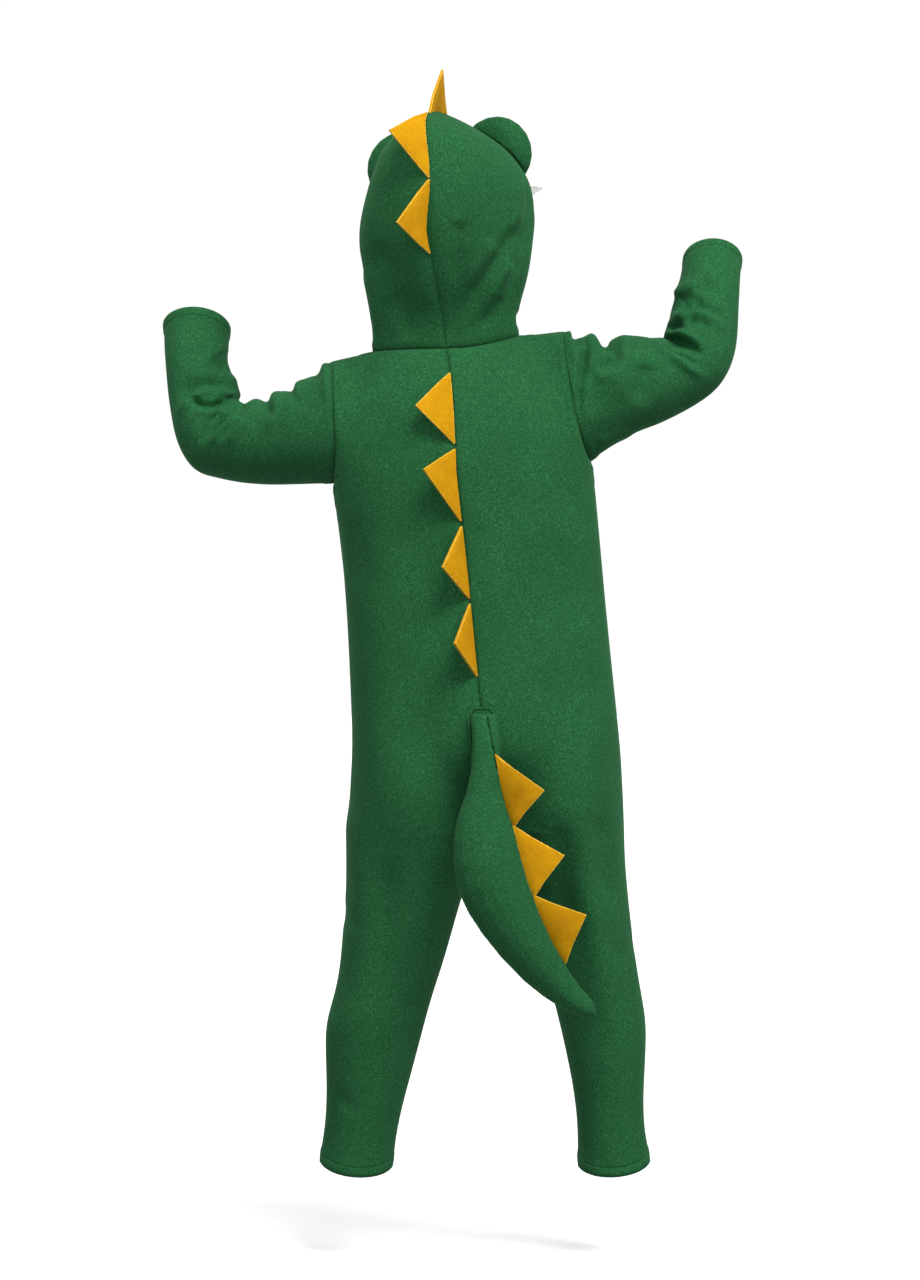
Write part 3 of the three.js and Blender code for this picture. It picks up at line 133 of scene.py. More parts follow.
# A crease is a name, its depth in mm, where a ridge is above 0, its half width in mm, and the
# points x, z in mm that it runs through, as seen from behind, or from the front if its name
# starts with front.
creases = dict(
    sleeve_left=[
        ("elbow fold", -9, 6, (205, -49), (212, -53), (223, -62), (234, -71), (245, -83),
         (256, -100)),
        ("elbow fold's lip", 5, 6, (208, -57), (215, -61), (225, -71), (237, -84), (250, -101)),
        ("second fold", -5, 6, (210, -58), (216, -69), (227, -83), (238, -96)),
        ("second ridge", 3.5, 6, (206, -68), (214, -78), (223, -89), (232, -102)),
        ("crescent", -7, 5, (266, -44), (262, -51), (254, -56), (243, -56), (231, -53),
         (218, -51)),
        ("crescent's lip", 3, 5, (264, -58), (248, -63), (232, -60), (220, -56)),
        ("arc", 5, 6, (212, -49), (220, -46), (233, -42), (248, -40), (264, -46), (275, -59),
         (281, -76)),
        ("above the arc", -6, 7, (276, -54), (268, -40), (255, -33), (235, -32), (218, -41),
         (212, -46)),
        ("small fold", -4, 4, (214, -45), (226, -48), (238, -44)),
        ("forearm dent", -3.5, 8, (229, -16), (240, -11), (254, -12)),
        ("forearm hollow", -3.5, 9, (246, 4), (266, 2), (284, -9)),
        ("forearm ridge", 3, 7, (272, -22), (256, -24), (238, -22)),
        ("inner forearm", -4, 7, (240, 4), (229, -10), (220, -26)),
        ("cuff gather", -3, 5, (206, 6), (214, 2), (222, -2)),
        ("top dent", -6, 5, (189, -42), (188, -50), (182, -64), (181, -76)),
        ("top ridge", 4, 8, (180, -34), (177, -48), (179, -72), (183, -92)),
        ("shoulder dent", -4.5, 5, (163, -30), (161, -38), (157, -52), (158, -62)),
        ("shoulder ridge", 4, 7, (152, -16), (153, -31), (160, -58), (172, -88)),
        ("armhole dent", -3, 5, (138, -12), (136, -20), (132, -36)),
        ("armhole puff", 3.5, 5, (126, 6), (125, -12), (123, -36), (120, -64)),
        ("front elbow fold", -8, 6, (202, -46), (212, -52), (228, -62), (247, -74)),
        ("front elbow ridge", 4, 7, (203, -58), (222, -74), (238, -92)),
        ("front second fold", -5, 6, (200, -60), (214, -84), (219, -104)),
        ("front forearm", -4, 8, (223, -28), (246, -22), (264, -27)),
        ("front shoulder", -4, 9, (128, -22), (134, -56), (142, -84)),
    ],
    sleeve_right=[
        ("armhole puff", 5.5, 4, (-125, 34), (-126, 20), (-128, 4), (-130, -20)),
        ("armhole dip", -3.5, 4, (-133, 22), (-134, 12), (-138, 0)),
        ("armhole ridge", 5, 4.5, (-134, 8), (-134, -17), (-131, -44), (-133, -76)),
        ("armhole fold", -8.5, 4.5, (-144, 12), (-143, -15), (-138, -39), (-136, -61),
         (-140, -90)),
        ("second puff", 6.5, 7, (-152, 34), (-151, 14), (-150, 0), (-148, -12)),
        ("armhole hollow", -4.5, 11, (-145, -12), (-154, -46), (-153, -74)),
        ("dip", -6.5, 5, (-161, 16), (-166, 6), (-174, 1), (-176, -8), (-164, -17), (-152, -20)),
        ("over the dip", 3.5, 6, (-184, 22), (-186, 2), (-182, -18), (-172, -40)),
        ("under the dip", 3, 6, (-151, -26), (-166, -27), (-178, -22)),
        ("elbow ridge", 6.5, 6, (-212, 14), (-220, 7), (-239, -7), (-257, -19), (-276, -29)),
        ("elbow valley", -7.5, 6, (-222, 14), (-230, 5), (-248, -4), (-261, -15), (-274, -23)),
        ("elbow fold", -7.5, 5, (-228, 12), (-234, 13), (-241, 14), (-252, 9), (-262, 2),
         (-273, -9)),
        ("elbow lip", 4.5, 5, (-228, 18), (-243, 21), (-257, 14), (-270, 4)),
        ("small fold", -4.5, 4, (-233, 25), (-240, 28), (-250, 30)),
        ("arc", 6, 6, (-238, 32), (-245, 38), (-257, 42), (-272, 40), (-285, 31), (-294, 17)),
        ("arc's hollow", -6, 7, (-242, 45), (-250, 49), (-266, 51), (-283, 43), (-294, 30)),
        ("inner hollow", -3, 6, (-252, 33), (-266, 32), (-280, 22)),
        ("forearm ridge", 4, 7, (-240, 62), (-250, 68), (-272, 82)),
        ("forearm fold", -4.5, 6, (-243, 58), (-254, 61), (-272, 58)),
        ("forearm dimple", -4.5, 9, (-262, 76), (-276, 70), (-292, 70)),
        ("underarm flap", 2, 6, (-155, -99), (-177, -88), (-202, -83)),
        ("upper arm", 3, 13, (-190, 0), (-184, -27), (-172, -56)),
        ("upper arm hollow", -5, 12, (-208, -12), (-204, -36), (-196, -60)),
        ("front elbow fold", -8, 6, (-216, 10), (-224, 4), (-240, -2), (-262, -8)),
        ("front elbow ridge", 4, 7, (-214, -2), (-238, -16), (-254, -30)),
        ("front second fold", -5, 6, (-214, -8), (-230, -30), (-238, -52)),
        ("front forearm", -4, 8, (-234, 30), (-256, 38), (-274, 34)),
        ("front shoulder", -4, 9, (-146, 6), (-150, -28), (-158, -62)),
    ],
    hood_left=[
        ("fold", -6.5, 12, (78, 112), (60, 79), (40, 41), (24, 11)),
        ("centre ridge", 3, 10, (34, 96), (26, 60), (20, 34)),
        ("inner fold", -3, 8, (60, 60), (44, 30), (34, 6)),
        ("side ridge", 2.4, 9, (83, 88), (73, 48), (66, 8)),
        ("front fold", -3.5, 10, (62, 40), (54, 16), (40, 4)),
    ],
    hood_right=[
        ("face fold", -4, 4.5, (-84, 178), (-87, 147), (-80, 108), (-69, 68), (-60, 38),
         (-58, 22)),
        ("face fold's lip", 2, 5, (-76, 150), (-70, 110), (-60, 70)),
        ("fold", -6.5, 8, (-82, 134), (-72, 117), (-58, 94), (-36, 65), (-18, 38), (-8, 22)),
        ("side ridge", 4, 8, (-70, 92), (-52, 66), (-38, 34)),
        ("lower fold", -3.2, 6, (-56, 56), (-46, 34), (-30, 16)),
        ("middle ridge", 2.5, 11, (-52, 110), (-36, 84), (-20, 56)),
        ("centre hollow", -3, 10, (-14, 130), (-12, 90), (-8, 60)),
        ("front fold", -3.5, 10, (-74, 44), (-66, 18), (-52, 4)),
    ],
    back_left=[
        ("shoulder dent", -2, 6, (101, -12), (99, -42)),
        ("shoulder ridge", 1.4, 6, (108, -18), (104, -50)),
        ("side hollow", -2, 14, (104, -170), (88, -230), (72, -262)),
        ("leg ridge", 4, 14, (94, -458), (87, -560), (100, -665)),
        ("leg hollow", -3, 13, (60, -520), (62, -600), (72, -690)),
        ("knee", -2, 9, (118, -575), (96, -590), (78, -588)),
        ("ankle", -1.8, 8, (116, -770), (98, -780), (84, -776)),
    ],
    back_right=[
        ("leg ridge", 4.5, 14, (-135, -452), (-141, -541), (-159, -631), (-176, -734)),
        ("leg hollow", -4, 11, (-155, -475), (-173, -596)),
        ("seat hollow", -3.5, 14, (-112, -470), (-118, -560), (-140, -650)),
        ("side hollow", -1.8, 14, (-118, -190), (-122, -270), (-132, -330)),
        ("knee", -1.8, 9, (-200, -610), (-180, -622), (-160, -620)),
    ],
    front_left=[
        ("front shoulder", -2.4, 8, (98, -20), (92, -60), (80, -96)),
        ("front waist", -2.2, 12, (84, -250), (52, -272), (20, -276)),
        ("front hip", -2.6, 10, (84, -430), (50, -462), (14, -484)),
        ("front knee", -2.2, 9, (112, -590), (88, -604), (58, -600)),
        ("front shin", 1.8, 12, (92, -640), (98, -700), (102, -760)),
        ("front ankle", -2, 8, (116, -778), (96, -790), (74, -784)),
    ],
    front_right=[
        ("front shoulder", -2.4, 8, (-104, -16), (-98, -60), (-84, -100)),
        ("front waist", -2.2, 12, (-116, -262), (-80, -280), (-44, -282)),
        ("front hip", -2.6, 10, (-150, -430), (-108, -462), (-70, -484)),
        ("front knee", -2.2, 9, (-196, -606), (-172, -620), (-146, -614)),
        ("front shin", 1.8, 12, (-160, -650), (-170, -710), (-176, -770)),
        ("front ankle", -2, 8, (-196, -780), (-176, -792), (-154, -786)),
    ],
)


def edgePoints(mesh):  # points close together along a sheet's open edges, with the way they face
    bm = bmesh.new()
    bm.from_mesh(mesh)
    bm.normal_update()
    points = []
    for edge in bm.edges:
        if edge.is_boundary:
            a, b = edge.verts
            points += [(a.co.lerp(b.co, i / 5), a.normal.lerp(b.normal, i / 5)) for i in range(5)]
    bm.free()
    return points


def treeOf(points):
    tree = KDTree(len(points))
    for i, point in enumerate(points):
        tree.insert(point, i)
    tree.balance()
    return tree


print("cloth: sheets from the frame")
sheets = {name: outerSkin(name) for name in cloth["sheets"]}
edges = {name: edgePoints(sheet.data) for name, sheet in sheets.items()}
edgeTrees = {name: treeOf([point for point, _ in points]) for name, points in edges.items()}


def splitEdges(name):  # the sewn part of a sheet's edge, the way its seam faces, the hemmed part
    sewn, ways, hemmed = [], [], []
    for point, normal in edges[name]:
        near = [(edgeTrees[other].find(point), other) for other in edges if other != name]
        close = [edges[other][found[1]][1] for found, other in near
                 if found[2] < cloth["seamGap"]]
        if close:
            sewn.append(point)
            ways.append(sum(close, normal.copy()).normalized())
        else:
            hemmed.append(point)
    return treeOf(sewn), ways, treeOf(hemmed) if hemmed else None


def creaseHeight(here, crease):
    _, depth, width, *points = crease
    reach = cloth["creaseReach"] * width
    for at, spread in zip(here, zip(*points)):
        if not min(spread) - reach < at < max(spread) + reach:
            return 0
    best, place, start = reach, 0, 0
    for a, b in zip(points, points[1:]):
        span = math.dist(a, b)
        t = ((here[0] - a[0]) * (b[0] - a[0]) + (here[1] - a[1]) * (b[1] - a[1])) / span ** 2
        t = min(1, max(0, t))
        away = math.dist(here, (a[0] + t * (b[0] - a[0]), a[1] + t * (b[1] - a[1])))
        if away < best:
            best, place = away, start + t * span
        start += span
    if best >= reach:
        return 0
    along = place / start
    taper = max(0, min(1, along / cloth["creaseStart"], (1 - along) / cloth["creaseEnd"]))
    return depth * mm * math.exp(-(best / width) ** 2) * taper * taper * (3 - 2 * taper)


def dressSheet(name):
    sheet = sheets[name]
    sewn, ways, hemmed = splitEdges(name)
    bm = bmesh.new()
    bm.from_mesh(sheet.data)
    bm.normal_update()
    seamLayer = bm.verts.layers.float.new("seam")
    hemLayer = bm.verts.layers.float.new("hem")
    moves = {}
    for v in bm.verts:
        _, nearest, toSeam = sewn.find(v.co)
        toHem = hemmed.find(v.co)[2] if hemmed else 1
        v[seamLayer], v[hemLayer] = toSeam / mm, toHem / mm
        height = 0
        if toHem < cloth["hem"]:
            height += cloth["hemLift"] * min(1, (cloth["hem"] - toHem) / cloth["hemRise"])
        calm = min(1, toSeam / cloth["unevenFrom"])
        height += cloth["unevenDepth"] * calm * noise.noise(v.co / cloth["unevenSize"])
        here = (v.co.x / mm, v.co.z / mm)
        seamCalm = min(1, cloth["atSeam"] + toSeam / cloth["fromSeam"])
        edgeCalm = seamCalm * min(1, cloth["atHem"] + toHem / cloth["fromHem"])
        for crease in creases[name]:
            facing = -v.normal.y if crease[0].startswith("front") else v.normal.y
            turned = cloth["turn"] + facing
            if turned > 0:
                height += creaseHeight(here, crease) * min(1, turned / cloth["turn"]) * edgeCalm
        moves[v] = v.normal * height
        if toSeam < cloth["seamWidth"]:
            sunk = (1 - toSeam / cloth["seamWidth"]) ** 2
            moves[v] -= v.normal.lerp(ways[nearest], sunk) * cloth["seamDepth"] * sunk
        if v.is_boundary:
            inner = [e.other_vert(v).co for e in v.link_edges if not e.is_boundary]
            if inner:
                outward = v.co - sum(inner, Vector()) / len(inner)
                moves[v] += outward.normalized() * cloth["overlap"]
    for v, move in moves.items():
        v.co += move
    # the seam allowance, turned to the inside
    joined = [e for e in bm.edges
              if e.is_boundary and all(v[seamLayer] < cloth["allowanceFrom"] for v in e.verts)]
    turnedIn = bmesh.ops.extrude_edge_only(bm, edges=joined)["geom"]
    for v in turnedIn:
        if isinstance(v, bmesh.types.BMVert):
            v.co -= ways[sewn.find(v.co)[1]] * cloth["allowance"]
    bm.to_mesh(sheet.data)
    bm.free()
    thick = sheet.modifiers.new("thickness", "SOLIDIFY")
    thick.thickness, thick.offset = cloth["thickness"], -1
    sheet.data.shade_smooth()


for name in sheets:
    dressSheet(name)
    print("cloth:", name)


# felt and stuffed pieces: the frame's shapes with soft, rounded edges

softParts = dict(  # the first kind whose word is in a piece's name is the piece's own
    fang=dict(voxel=0.8 * mm, smooth=2),
    white=dict(voxel=0.9 * mm, smooth=2),
    pupil=dict(voxel=0.9 * mm, smooth=2),
    eye=dict(voxel=2.0 * mm, smooth=3),
    welt=dict(voxel=0.9 * mm, smooth=1),
    tail=dict(voxel=2.2 * mm, smooth=2),
)
rimPoints = 20  # along each sharp edge


def softCopy(name, kind):
    part = softParts[kind]
    bm = mergedCopy(name)
    rim = [e.verts[0].co.lerp(e.verts[1].co, i / rimPoints) for e in bm.edges
           if e.calc_face_angle(0) > corner for i in range(rimPoints)]
    piece = newPiece(name + "_soft", bm)
    remesh = piece.modifiers.new("even", "REMESH")
    remesh.mode, remesh.voxel_size = "VOXEL", part["voxel"]
    applyModifiers(piece)
    bm = bmesh.new()
    bm.from_mesh(piece.data)
    for _ in range(part["smooth"]):
        bmesh.ops.smooth_vert(bm, verts=bm.verts, factor=0.5, use_axis_x=True,
                              use_axis_y=True, use_axis_z=True)
    rimTree = treeOf(rim) if rim else None
    layer = bm.verts.layers.float.new("rim")
    for v in bm.verts:
        v[layer] = rimTree.find(v.co)[2] / mm if rimTree else 99
    bm.to_mesh(piece.data)
    bm.free()
    piece.data.shade_smooth()
    return piece


feltEdge = dict(bevel=1.2 * mm, sharp=math.radians(25),
                sunk=3 * mm, nearTail=3 * mm, nearSeam=4 * mm)
seamEdges = [pair for name in ("back_left", "hood_left") for pair in edges[name]]
backSeam = treeOf([point for point, _ in seamEdges])
backSeamWays = [way for _, way in seamEdges]
tailMesh = mergedCopy("tail_near")
tailTree = BVHTree.FromBMesh(tailMesh)
tailMesh.free()


def feltSpike(name):  # a cut felt piece keeps its points, with a pale line along its edges: a painted highlight
    bm = mergedCopy(name)
    if "tail" in name:  # its foot goes down between the halves of the tail
        middle = sum((v.co for v in bm.verts), Vector()) / len(bm.verts)
        for v in bm.verts:
            spot, _, _, away = tailTree.find_nearest(v.co)
            if away < feltEdge["nearTail"]:
                v.co += (spot - middle).normalized() * feltEdge["sunk"]
    else:
        for v in bm.verts:
            _, nearest, away = backSeam.find(v.co)
            if away < feltEdge["nearSeam"]:
                v.co -= backSeamWays[nearest] * feltEdge["sunk"]
    sharp = [e for e in bm.edges if e.calc_face_angle(0) > corner]
    # the bevelled faces take the second material, a painted highlight along the felt's edges
    bmesh.ops.bevel(bm, geom=sharp, offset=feltEdge["bevel"], affect="EDGES", segments=2,
                    profile=0.5, material=1, clamp_overlap=True)
    piece = newPiece(name + "_felt", bm)
    piece.data.set_sharp_from_angle(angle=feltEdge["sharp"])
    return piece


spikes = {name: feltSpike(name) for name in nodes if name.startswith("spike")}
kinds = {name: next(kind for kind in softParts if kind in name)
         for name in nodes if name.startswith(("fang", "eye", "tail"))}
soft = {name: softCopy(name, kind) for name, kind in kinds.items()}
print("felt and stuffed pieces:", len(soft))


def srgb(r, g, b):
    def linear(c):
        c /= 255
        return c / 12.92 if c <= 0.04045 else ((c + 0.055) / 1.055) ** 2.4
    return (linear(r), linear(g), linear(b), 1)


class Finish:
    def __init__(self, name, roughness, **sockets):
        self.material = bpy.data.materials.new(name)
        self.material.use_nodes = True
        self.tree = self.material.node_tree
        self.shader = self.tree.nodes["Principled BSDF"]
        self.shader.inputs["Roughness"].default_value = roughness
        for socket, value in sockets.items():
            self.shader.inputs[socket.replace("_", " ")].default_value = value
        self.place = self.node("ShaderNodeTexCoord").outputs["Object"]

    def node(self, kind, **settings):
        made = self.tree.nodes.new(kind)
        for key, value in settings.items():
            setattr(made, key, value)
        return made

    def link(self, source, target):
        if isinstance(source, (int, float, tuple)):
            target.default_value = source
        else:
            self.tree.links.new(source, target)

    def noise(self, scale, detail=2, roughness=0.5, stretch=None):
        made = self.node("ShaderNodeTexNoise")
        place = self.place
        if stretch:
            mapping = self.node("ShaderNodeMapping")
            mapping.inputs["Scale"].default_value = stretch
            self.link(place, mapping.inputs["Vector"])
            place = mapping.outputs["Vector"]
        self.link(place, made.inputs["Vector"])
        made.inputs["Scale"].default_value = scale
        made.inputs["Detail"].default_value = detail
        made.inputs["Roughness"].default_value = roughness
        return made.outputs["Fac"]

    def attribute(self, name):
        return self.node("ShaderNodeAttribute", attribute_name=name).outputs["Fac"]

    def ramp(self, source, low, high, start=0.0, end=1.0):
        made = self.node("ShaderNodeMapRange", interpolation_type="SMOOTHSTEP")
        for value, socket in zip((source, low, high, start, end), made.inputs):
            self.link(value, socket)
        return made.outputs["Result"]

    def math(self, operation, a, b=0.0):
        made = self.node("ShaderNodeMath", operation=operation)
        self.link(a, made.inputs[0])
        self.link(b, made.inputs[1])
        return made.outputs[0]

    def mix(self, amount, a, b):
        made = self.node("ShaderNodeMix", data_type="RGBA")
        self.link(amount, made.inputs["Factor"])
        self.link(a, made.inputs[6])
        self.link(b, made.inputs[7])
        return made.outputs[2]

    def colour(self, source):
        self.link(source, self.shader.inputs["Base Color"])

    def bump(self, height, distance, strength=1.0):
        made = self.node("ShaderNodeBump")
        made.inputs["Strength"].default_value = strength
        made.inputs["Distance"].default_value = distance
        self.link(height, made.inputs["Height"])
        previous = self.shader.inputs["Normal"].links
        if previous:
            self.link(previous[0].from_socket, made.inputs["Normal"])
        self.link(made.outputs["Normal"], self.shader.inputs["Normal"])


def groove(finish, distance, centre, width):  # 1 on a line at that distance from an edge, else 0
    away = finish.math("ABSOLUTE", finish.math("SUBTRACT", distance, centre))
    return finish.ramp(away, 0.0, width, 1.0, 0.0)


fleece = dict(
    dark=srgb(14, 64, 32), middle=srgb(35, 96, 54), light=srgb(58, 126, 80),
    sheen=0.12, sheenRoughness=0.35, sheenTint=srgb(120, 200, 140),
    melange=850, tufts=420, patches=14,
    tuftDepth=0.9 * mm, grainDepth=0.5 * mm,
    seamShade=3.0, hemStitch=9.5, stitchWidth=1.8, stitchDepth=1.2 * mm,
    piping=3.2, pipingWidth=1.3, line=srgb(8, 36, 18),
)


def makeFleece(name, hemmed, piped=False):
    f = Finish(name, 0.95, Sheen_Weight=fleece["sheen"], Sheen_Roughness=fleece["sheenRoughness"],
               Sheen_Tint=fleece["sheenTint"], Specular_IOR_Level=0.15)
    grain = f.noise(fleece["melange"], 3, 0.6)
    tufts = f.noise(fleece["tufts"], 2, 0.55)
    patches = f.noise(fleece["patches"], 2)
    tone = f.mix(f.ramp(grain, 0.32, 0.68), fleece["dark"], fleece["middle"])
    tone = f.mix(f.math("MULTIPLY", f.ramp(tufts, 0.48, 0.75), 0.4), tone, fleece["light"])
    tone = f.mix(f.math("MULTIPLY", f.ramp(patches, 0.35, 0.65), 0.25), tone, fleece["dark"])
    if hemmed:
        # painted shade: the fleece is darkened towards each seam, in the valley where the seam is
        # sunk
        seamValleyShade = f.ramp(f.attribute("seam"), 0.0, fleece["seamShade"], 0.45, 0.0)
        tone = f.mix(seamValleyShade, tone, fleece["dark"])
    if piped:
        line = groove(f, f.attribute("rim"), fleece["piping"], fleece["pipingWidth"])
        tone = f.mix(line, tone, fleece["line"])
    f.colour(tone)
    f.bump(tufts, fleece["tuftDepth"], 0.22)
    f.bump(grain, fleece["grainDepth"], 0.3)
    if hemmed:
        line = groove(f, f.attribute("hem"), fleece["hemStitch"], fleece["stitchWidth"])
        f.bump(f.math("MULTIPLY", line, -1.0), fleece["stitchDepth"], 0.8)
    return f.material


felt = dict(
    base=srgb(192, 138, 2), light=srgb(202, 150, 6), shade=srgb(176, 122, 0),
    # edge: the pale colour of the bevelled edges, a painted highlight
    edge=srgb(255, 222, 110),
    fibres=900, blotches=60, fibreDepth=0.3 * mm,
)


def makeFelt(name, base, light, shade, rimHighlight=True):
    f = Finish(name, 0.9, Specular_IOR_Level=0.12)
    fibres = f.noise(felt["fibres"], 3, 0.65, (1.0, 1.0, 0.35))
    blotches = f.noise(felt["blotches"], 2)
    tone = f.mix(f.ramp(fibres, 0.35, 0.65), shade, base)
    tone = f.mix(f.math("MULTIPLY", f.ramp(blotches, 0.4, 0.7), 0.35), tone, light)
    if rimHighlight:
        # painted highlight: the felt is lighter towards its sharp edges
        rim = f.ramp(f.attribute("rim"), 0.5, 2.5, 0.55, 0.0)
        tone = f.mix(rim, tone, light)
    f.colour(tone)
    f.bump(fibres, felt["fibreDepth"], 0.7)
    return f.material


tape = dict(dark=srgb(18, 48, 30), light=srgb(34, 82, 52), ribs=420, ribDepth=0.2 * mm)


def makeTape(name):
    f = Finish(name, 0.75, Sheen_Weight=0.15, Specular_IOR_Level=0.3)
    weave = f.node("ShaderNodeTexWave", wave_type="BANDS", bands_direction="Z")
    weave.inputs["Scale"].default_value = tape["ribs"]
    f.link(f.place, weave.inputs["Vector"])
    f.colour(f.mix(weave.outputs["Fac"], tape["dark"], tape["light"]))
    f.bump(weave.outputs["Fac"], tape["ribDepth"], 0.6)
    return f.material


metal = dict(dull=srgb(168, 168, 170), bright=srgb(196, 196, 198), wear=220, wearDepth=0.05 * mm)


def makeMetal(name):
    f = Finish(name, 0.3, Metallic=1.0)
    wear = f.noise(metal["wear"], 3)
    f.colour(f.mix(f.ramp(wear, 0.4, 0.7), metal["dull"], metal["bright"]))
    f.bump(wear, metal["wearDepth"], 0.3)
    return f.material


fleeceCloth = makeFleece("green_fleece", True)
fleeceStuffed = makeFleece("green_fleece_stuffed", False)
fleeceWelt = makeFleece("green_fleece_welt", False, piped=True)
yellowFelt = makeFelt("yellow_felt", felt["base"], felt["light"], felt["shade"], rimHighlight=False)
# the spikes' bevelled edges are painted lighter, as a painted highlight
yellowEdgeHighlight = makeFelt("yellow_felt_edge_highlight", felt["edge"], felt["edge"], felt["light"], rimHighlight=False)
# the white felt is painted light grey as painted shade; the real felt is white
whiteFeltPaintedShade = makeFelt("white_felt", srgb(172, 171, 168), srgb(188, 187, 184), srgb(148, 147, 144))
blackFelt = makeFelt("black_felt", srgb(22, 22, 23), srgb(48, 48, 50), srgb(12, 12, 13))
zipTape = makeTape("zip_tape")
zipMetal = makeMetal("zip_metal")


def paint(piece, *materials):
    for material in materials:
        piece.data.materials.append(material)


def standIn(piece, node, slot, *materials):  # all the soft pieces ride on the costume
    paint(piece, *materials)
    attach(piece, "costume")
    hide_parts(node)


for name, sheet in sheets.items():
    standIn(sheet, name, "green_fleece", fleeceCloth)

for name, piece in spikes.items():
    standIn(piece, name, "yellow_felt", yellowFelt, yellowEdgeHighlight)

finishes = dict(
    fang=("white_felt", whiteFeltPaintedShade), white=("white_felt", whiteFeltPaintedShade),
    pupil=("black_felt", blackFelt), eye=("green_fleece", fleeceStuffed),
    welt=("green_fleece", fleeceWelt), tail=("green_fleece", fleeceStuffed),
)
for name, piece in soft.items():
    standIn(piece, name, *finishes[kinds[name]])

zipTeeth = dict(
    pitch=2.4 * mm, size=(2.4 * mm, 1.0 * mm, 1.3 * mm), round=0.25 * mm,
    apart=0.9 * mm, open=2.2 * mm, ends=3 * mm, tapeWide=6 * mm,
)


def makeTeeth():  # closed below the slider, parted above it
    low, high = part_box("zip_tape")
    sliderLow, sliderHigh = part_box("zip_slider")
    strip = mergedCopy("zip_tape")
    front = BVHTree.FromBMesh(strip)
    across = {}  # the tape wanders sideways with the cloth
    for v in strip.verts:
        across.setdefault(round(v.co.z, 3), []).append(v.co.x)
    rows = sorted((z, (min(xs) + max(xs)) / 2) for z, xs in across.items()
                  if max(xs) - min(xs) > zipTeeth["tapeWide"])
    strip.free()
    bm = bmesh.new()
    tooth = bmesh.ops.create_cube(bm, size=1)["verts"]
    bmesh.ops.scale(bm, verts=tooth, vec=zipTeeth["size"])
    bmesh.ops.bevel(bm, geom=bm.edges[:], offset=zipTeeth["round"], affect="EDGES", segments=1,
                    profile=0.5, material=-1)
    pattern = bm.faces[:]
    z, side = high.z - zipTeeth["ends"], 1
    while z > low.z + zipTeeth["ends"]:
        if not sliderLow.z < z < sliderHigh.z:
            below = max(row for row in rows if row[0] <= z)
            above = min(row for row in rows if row[0] > z)
            middle = below[1] + (above[1] - below[1]) * (z - below[0]) / (above[0] - below[0])
            spot = front.ray_cast(Vector((middle, low.y - 0.1, z)), Vector((0, 1, 0)))[0]
            opened = max(0, (z - sliderHigh.z) / (high.z - sliderHigh.z))
            aside = side * (zipTeeth["apart"] + opened * zipTeeth["open"])
            copied = bmesh.ops.duplicate(bm, geom=pattern)["geom"]
            bmesh.ops.translate(bm, verts=[v for v in copied if isinstance(v, bmesh.types.BMVert)],
                                vec=spot + Vector((aside, 0, 0)))
        z, side = z - zipTeeth["pitch"] / 2, -side
    bmesh.ops.delete(bm, geom=pattern, context="FACES")
    teeth = newPiece("zip_teeth", bm)
    teeth.data.set_sharp_from_angle(angle=math.radians(30))
    paint(teeth, zipMetal)
    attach(teeth, "costume")


makeTeeth()
for slot in nodes["zip_tape"].material_slots:
    slot.material = zipTape
for name in ("zip_slider", "zip_pull"):
    for slot in nodes[name].material_slots:
        slot.material = zipMetal


studio = dict(
    floor=-0.94, radius=30.0, sides=64, wallHeight=40,
    floorColour=srgb(190, 190, 190), floorGlow=0.6,
    world=0.36, aim=(0, 0, -0.3),
    lamps=dict(  # where each lamp stands; a sun has a width in degrees, an area lamp one in metres
        key=dict(kind="SUN", at=(-0.75, 1.4, 1.9), strength=3.3, wide=26),
        right=dict(kind="AREA", at=(-0.9, 0.6, 0.8), strength=6, wide=0.2),
        left=dict(kind="AREA", at=(0.9, 0.55, 0.8), strength=5, wide=0.2),
        fill=dict(kind="SUN", at=(0.4, 2.3, -1.9), strength=1.15, wide=60),
        far=dict(kind="SUN", at=(0.6, -2.0, 1.3), strength=0.6, wide=50),
    ),
)
camera = dict(back=4.2, across=-0.0146, height=-0.30, lens=113.6)

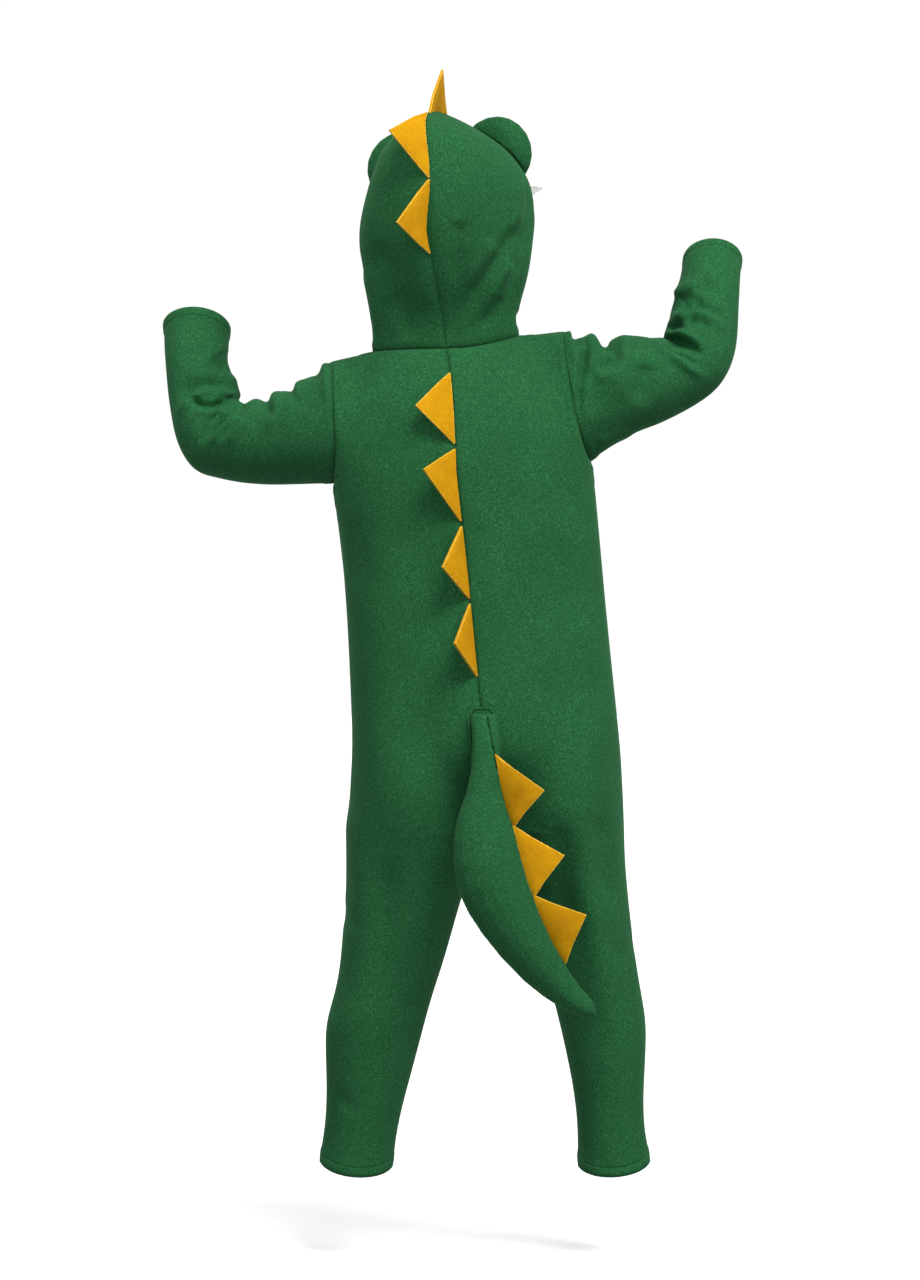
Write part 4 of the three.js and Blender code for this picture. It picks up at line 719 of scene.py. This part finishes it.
floorMesh = bmesh.new()
bmesh.ops.create_circle(floorMesh, cap_ends=True, segments=studio["sides"],
                        radius=studio["radius"])
bmesh.ops.translate(floorMesh, verts=floorMesh.verts, vec=(0, 0, studio["floor"]))
floor = newPiece("floor", floorMesh)
paint(floor, Finish("pale_floor", 0.9, Specular_IOR_Level=0.1, Base_Color=studio["floorColour"],
                    Emission_Color=(1, 1, 1, 1), Emission_Strength=studio["floorGlow"]).material)
floor.visible_diffuse = False

world = bpy.data.worlds.new("studio")
bpy.context.scene.world = world
world.use_nodes = True
background = world.node_tree.nodes["Background"]
background.inputs["Color"].default_value = (1, 1, 1, 1)
background.inputs["Strength"].default_value = studio["world"]

for name, lamp in studio["lamps"].items():
    light = bpy.data.lights.new(name, lamp["kind"])
    light.energy = lamp["strength"]
    if lamp["kind"] == "SUN":
        light.angle = math.radians(lamp["wide"])
    else:
        light.size = lamp["wide"]
    lampObject = bpy.data.objects.new(name, light)
    bpy.context.scene.collection.objects.link(lampObject)
    lampObject.location = lamp["at"]
    aim = Vector(studio["aim"]) - Vector(lamp["at"])
    lampObject.rotation_euler = aim.to_track_quat("-Z", "Y").to_euler()

# a pale wall all round, plain and lit by itself, so that the floor ends softly
wallMesh = bmesh.new()
bmesh.ops.create_cone(wallMesh, segments=studio["sides"], radius1=studio["radius"],
                      radius2=studio["radius"], depth=studio["wallHeight"], cap_ends=False)
bmesh.ops.reverse_faces(wallMesh, faces=wallMesh.faces)
wall = newPiece("wall", wallMesh)
paint(wall, Finish("pale_wall", 1.0, Base_Color=(0, 0, 0, 1), Emission_Color=(1, 1, 1, 1),
                   Emission_Strength=1.0).material)
wall.visible_shadow = wall.visible_diffuse = wall.visible_glossy = False

cameraData = bpy.data.cameras.new("camera")
cameraData.lens = camera["lens"]
cameraObject = bpy.data.objects.new("camera", cameraData)
bpy.context.scene.collection.objects.link(cameraObject)
cameraObject.location = (camera["across"], camera["back"], camera["height"])
cameraObject.rotation_euler = (math.radians(90), 0, math.radians(180))
bpy.context.scene.camera = cameraObject
bpy.context.scene.view_settings.view_transform = "Standard"
print("floor, light and camera")
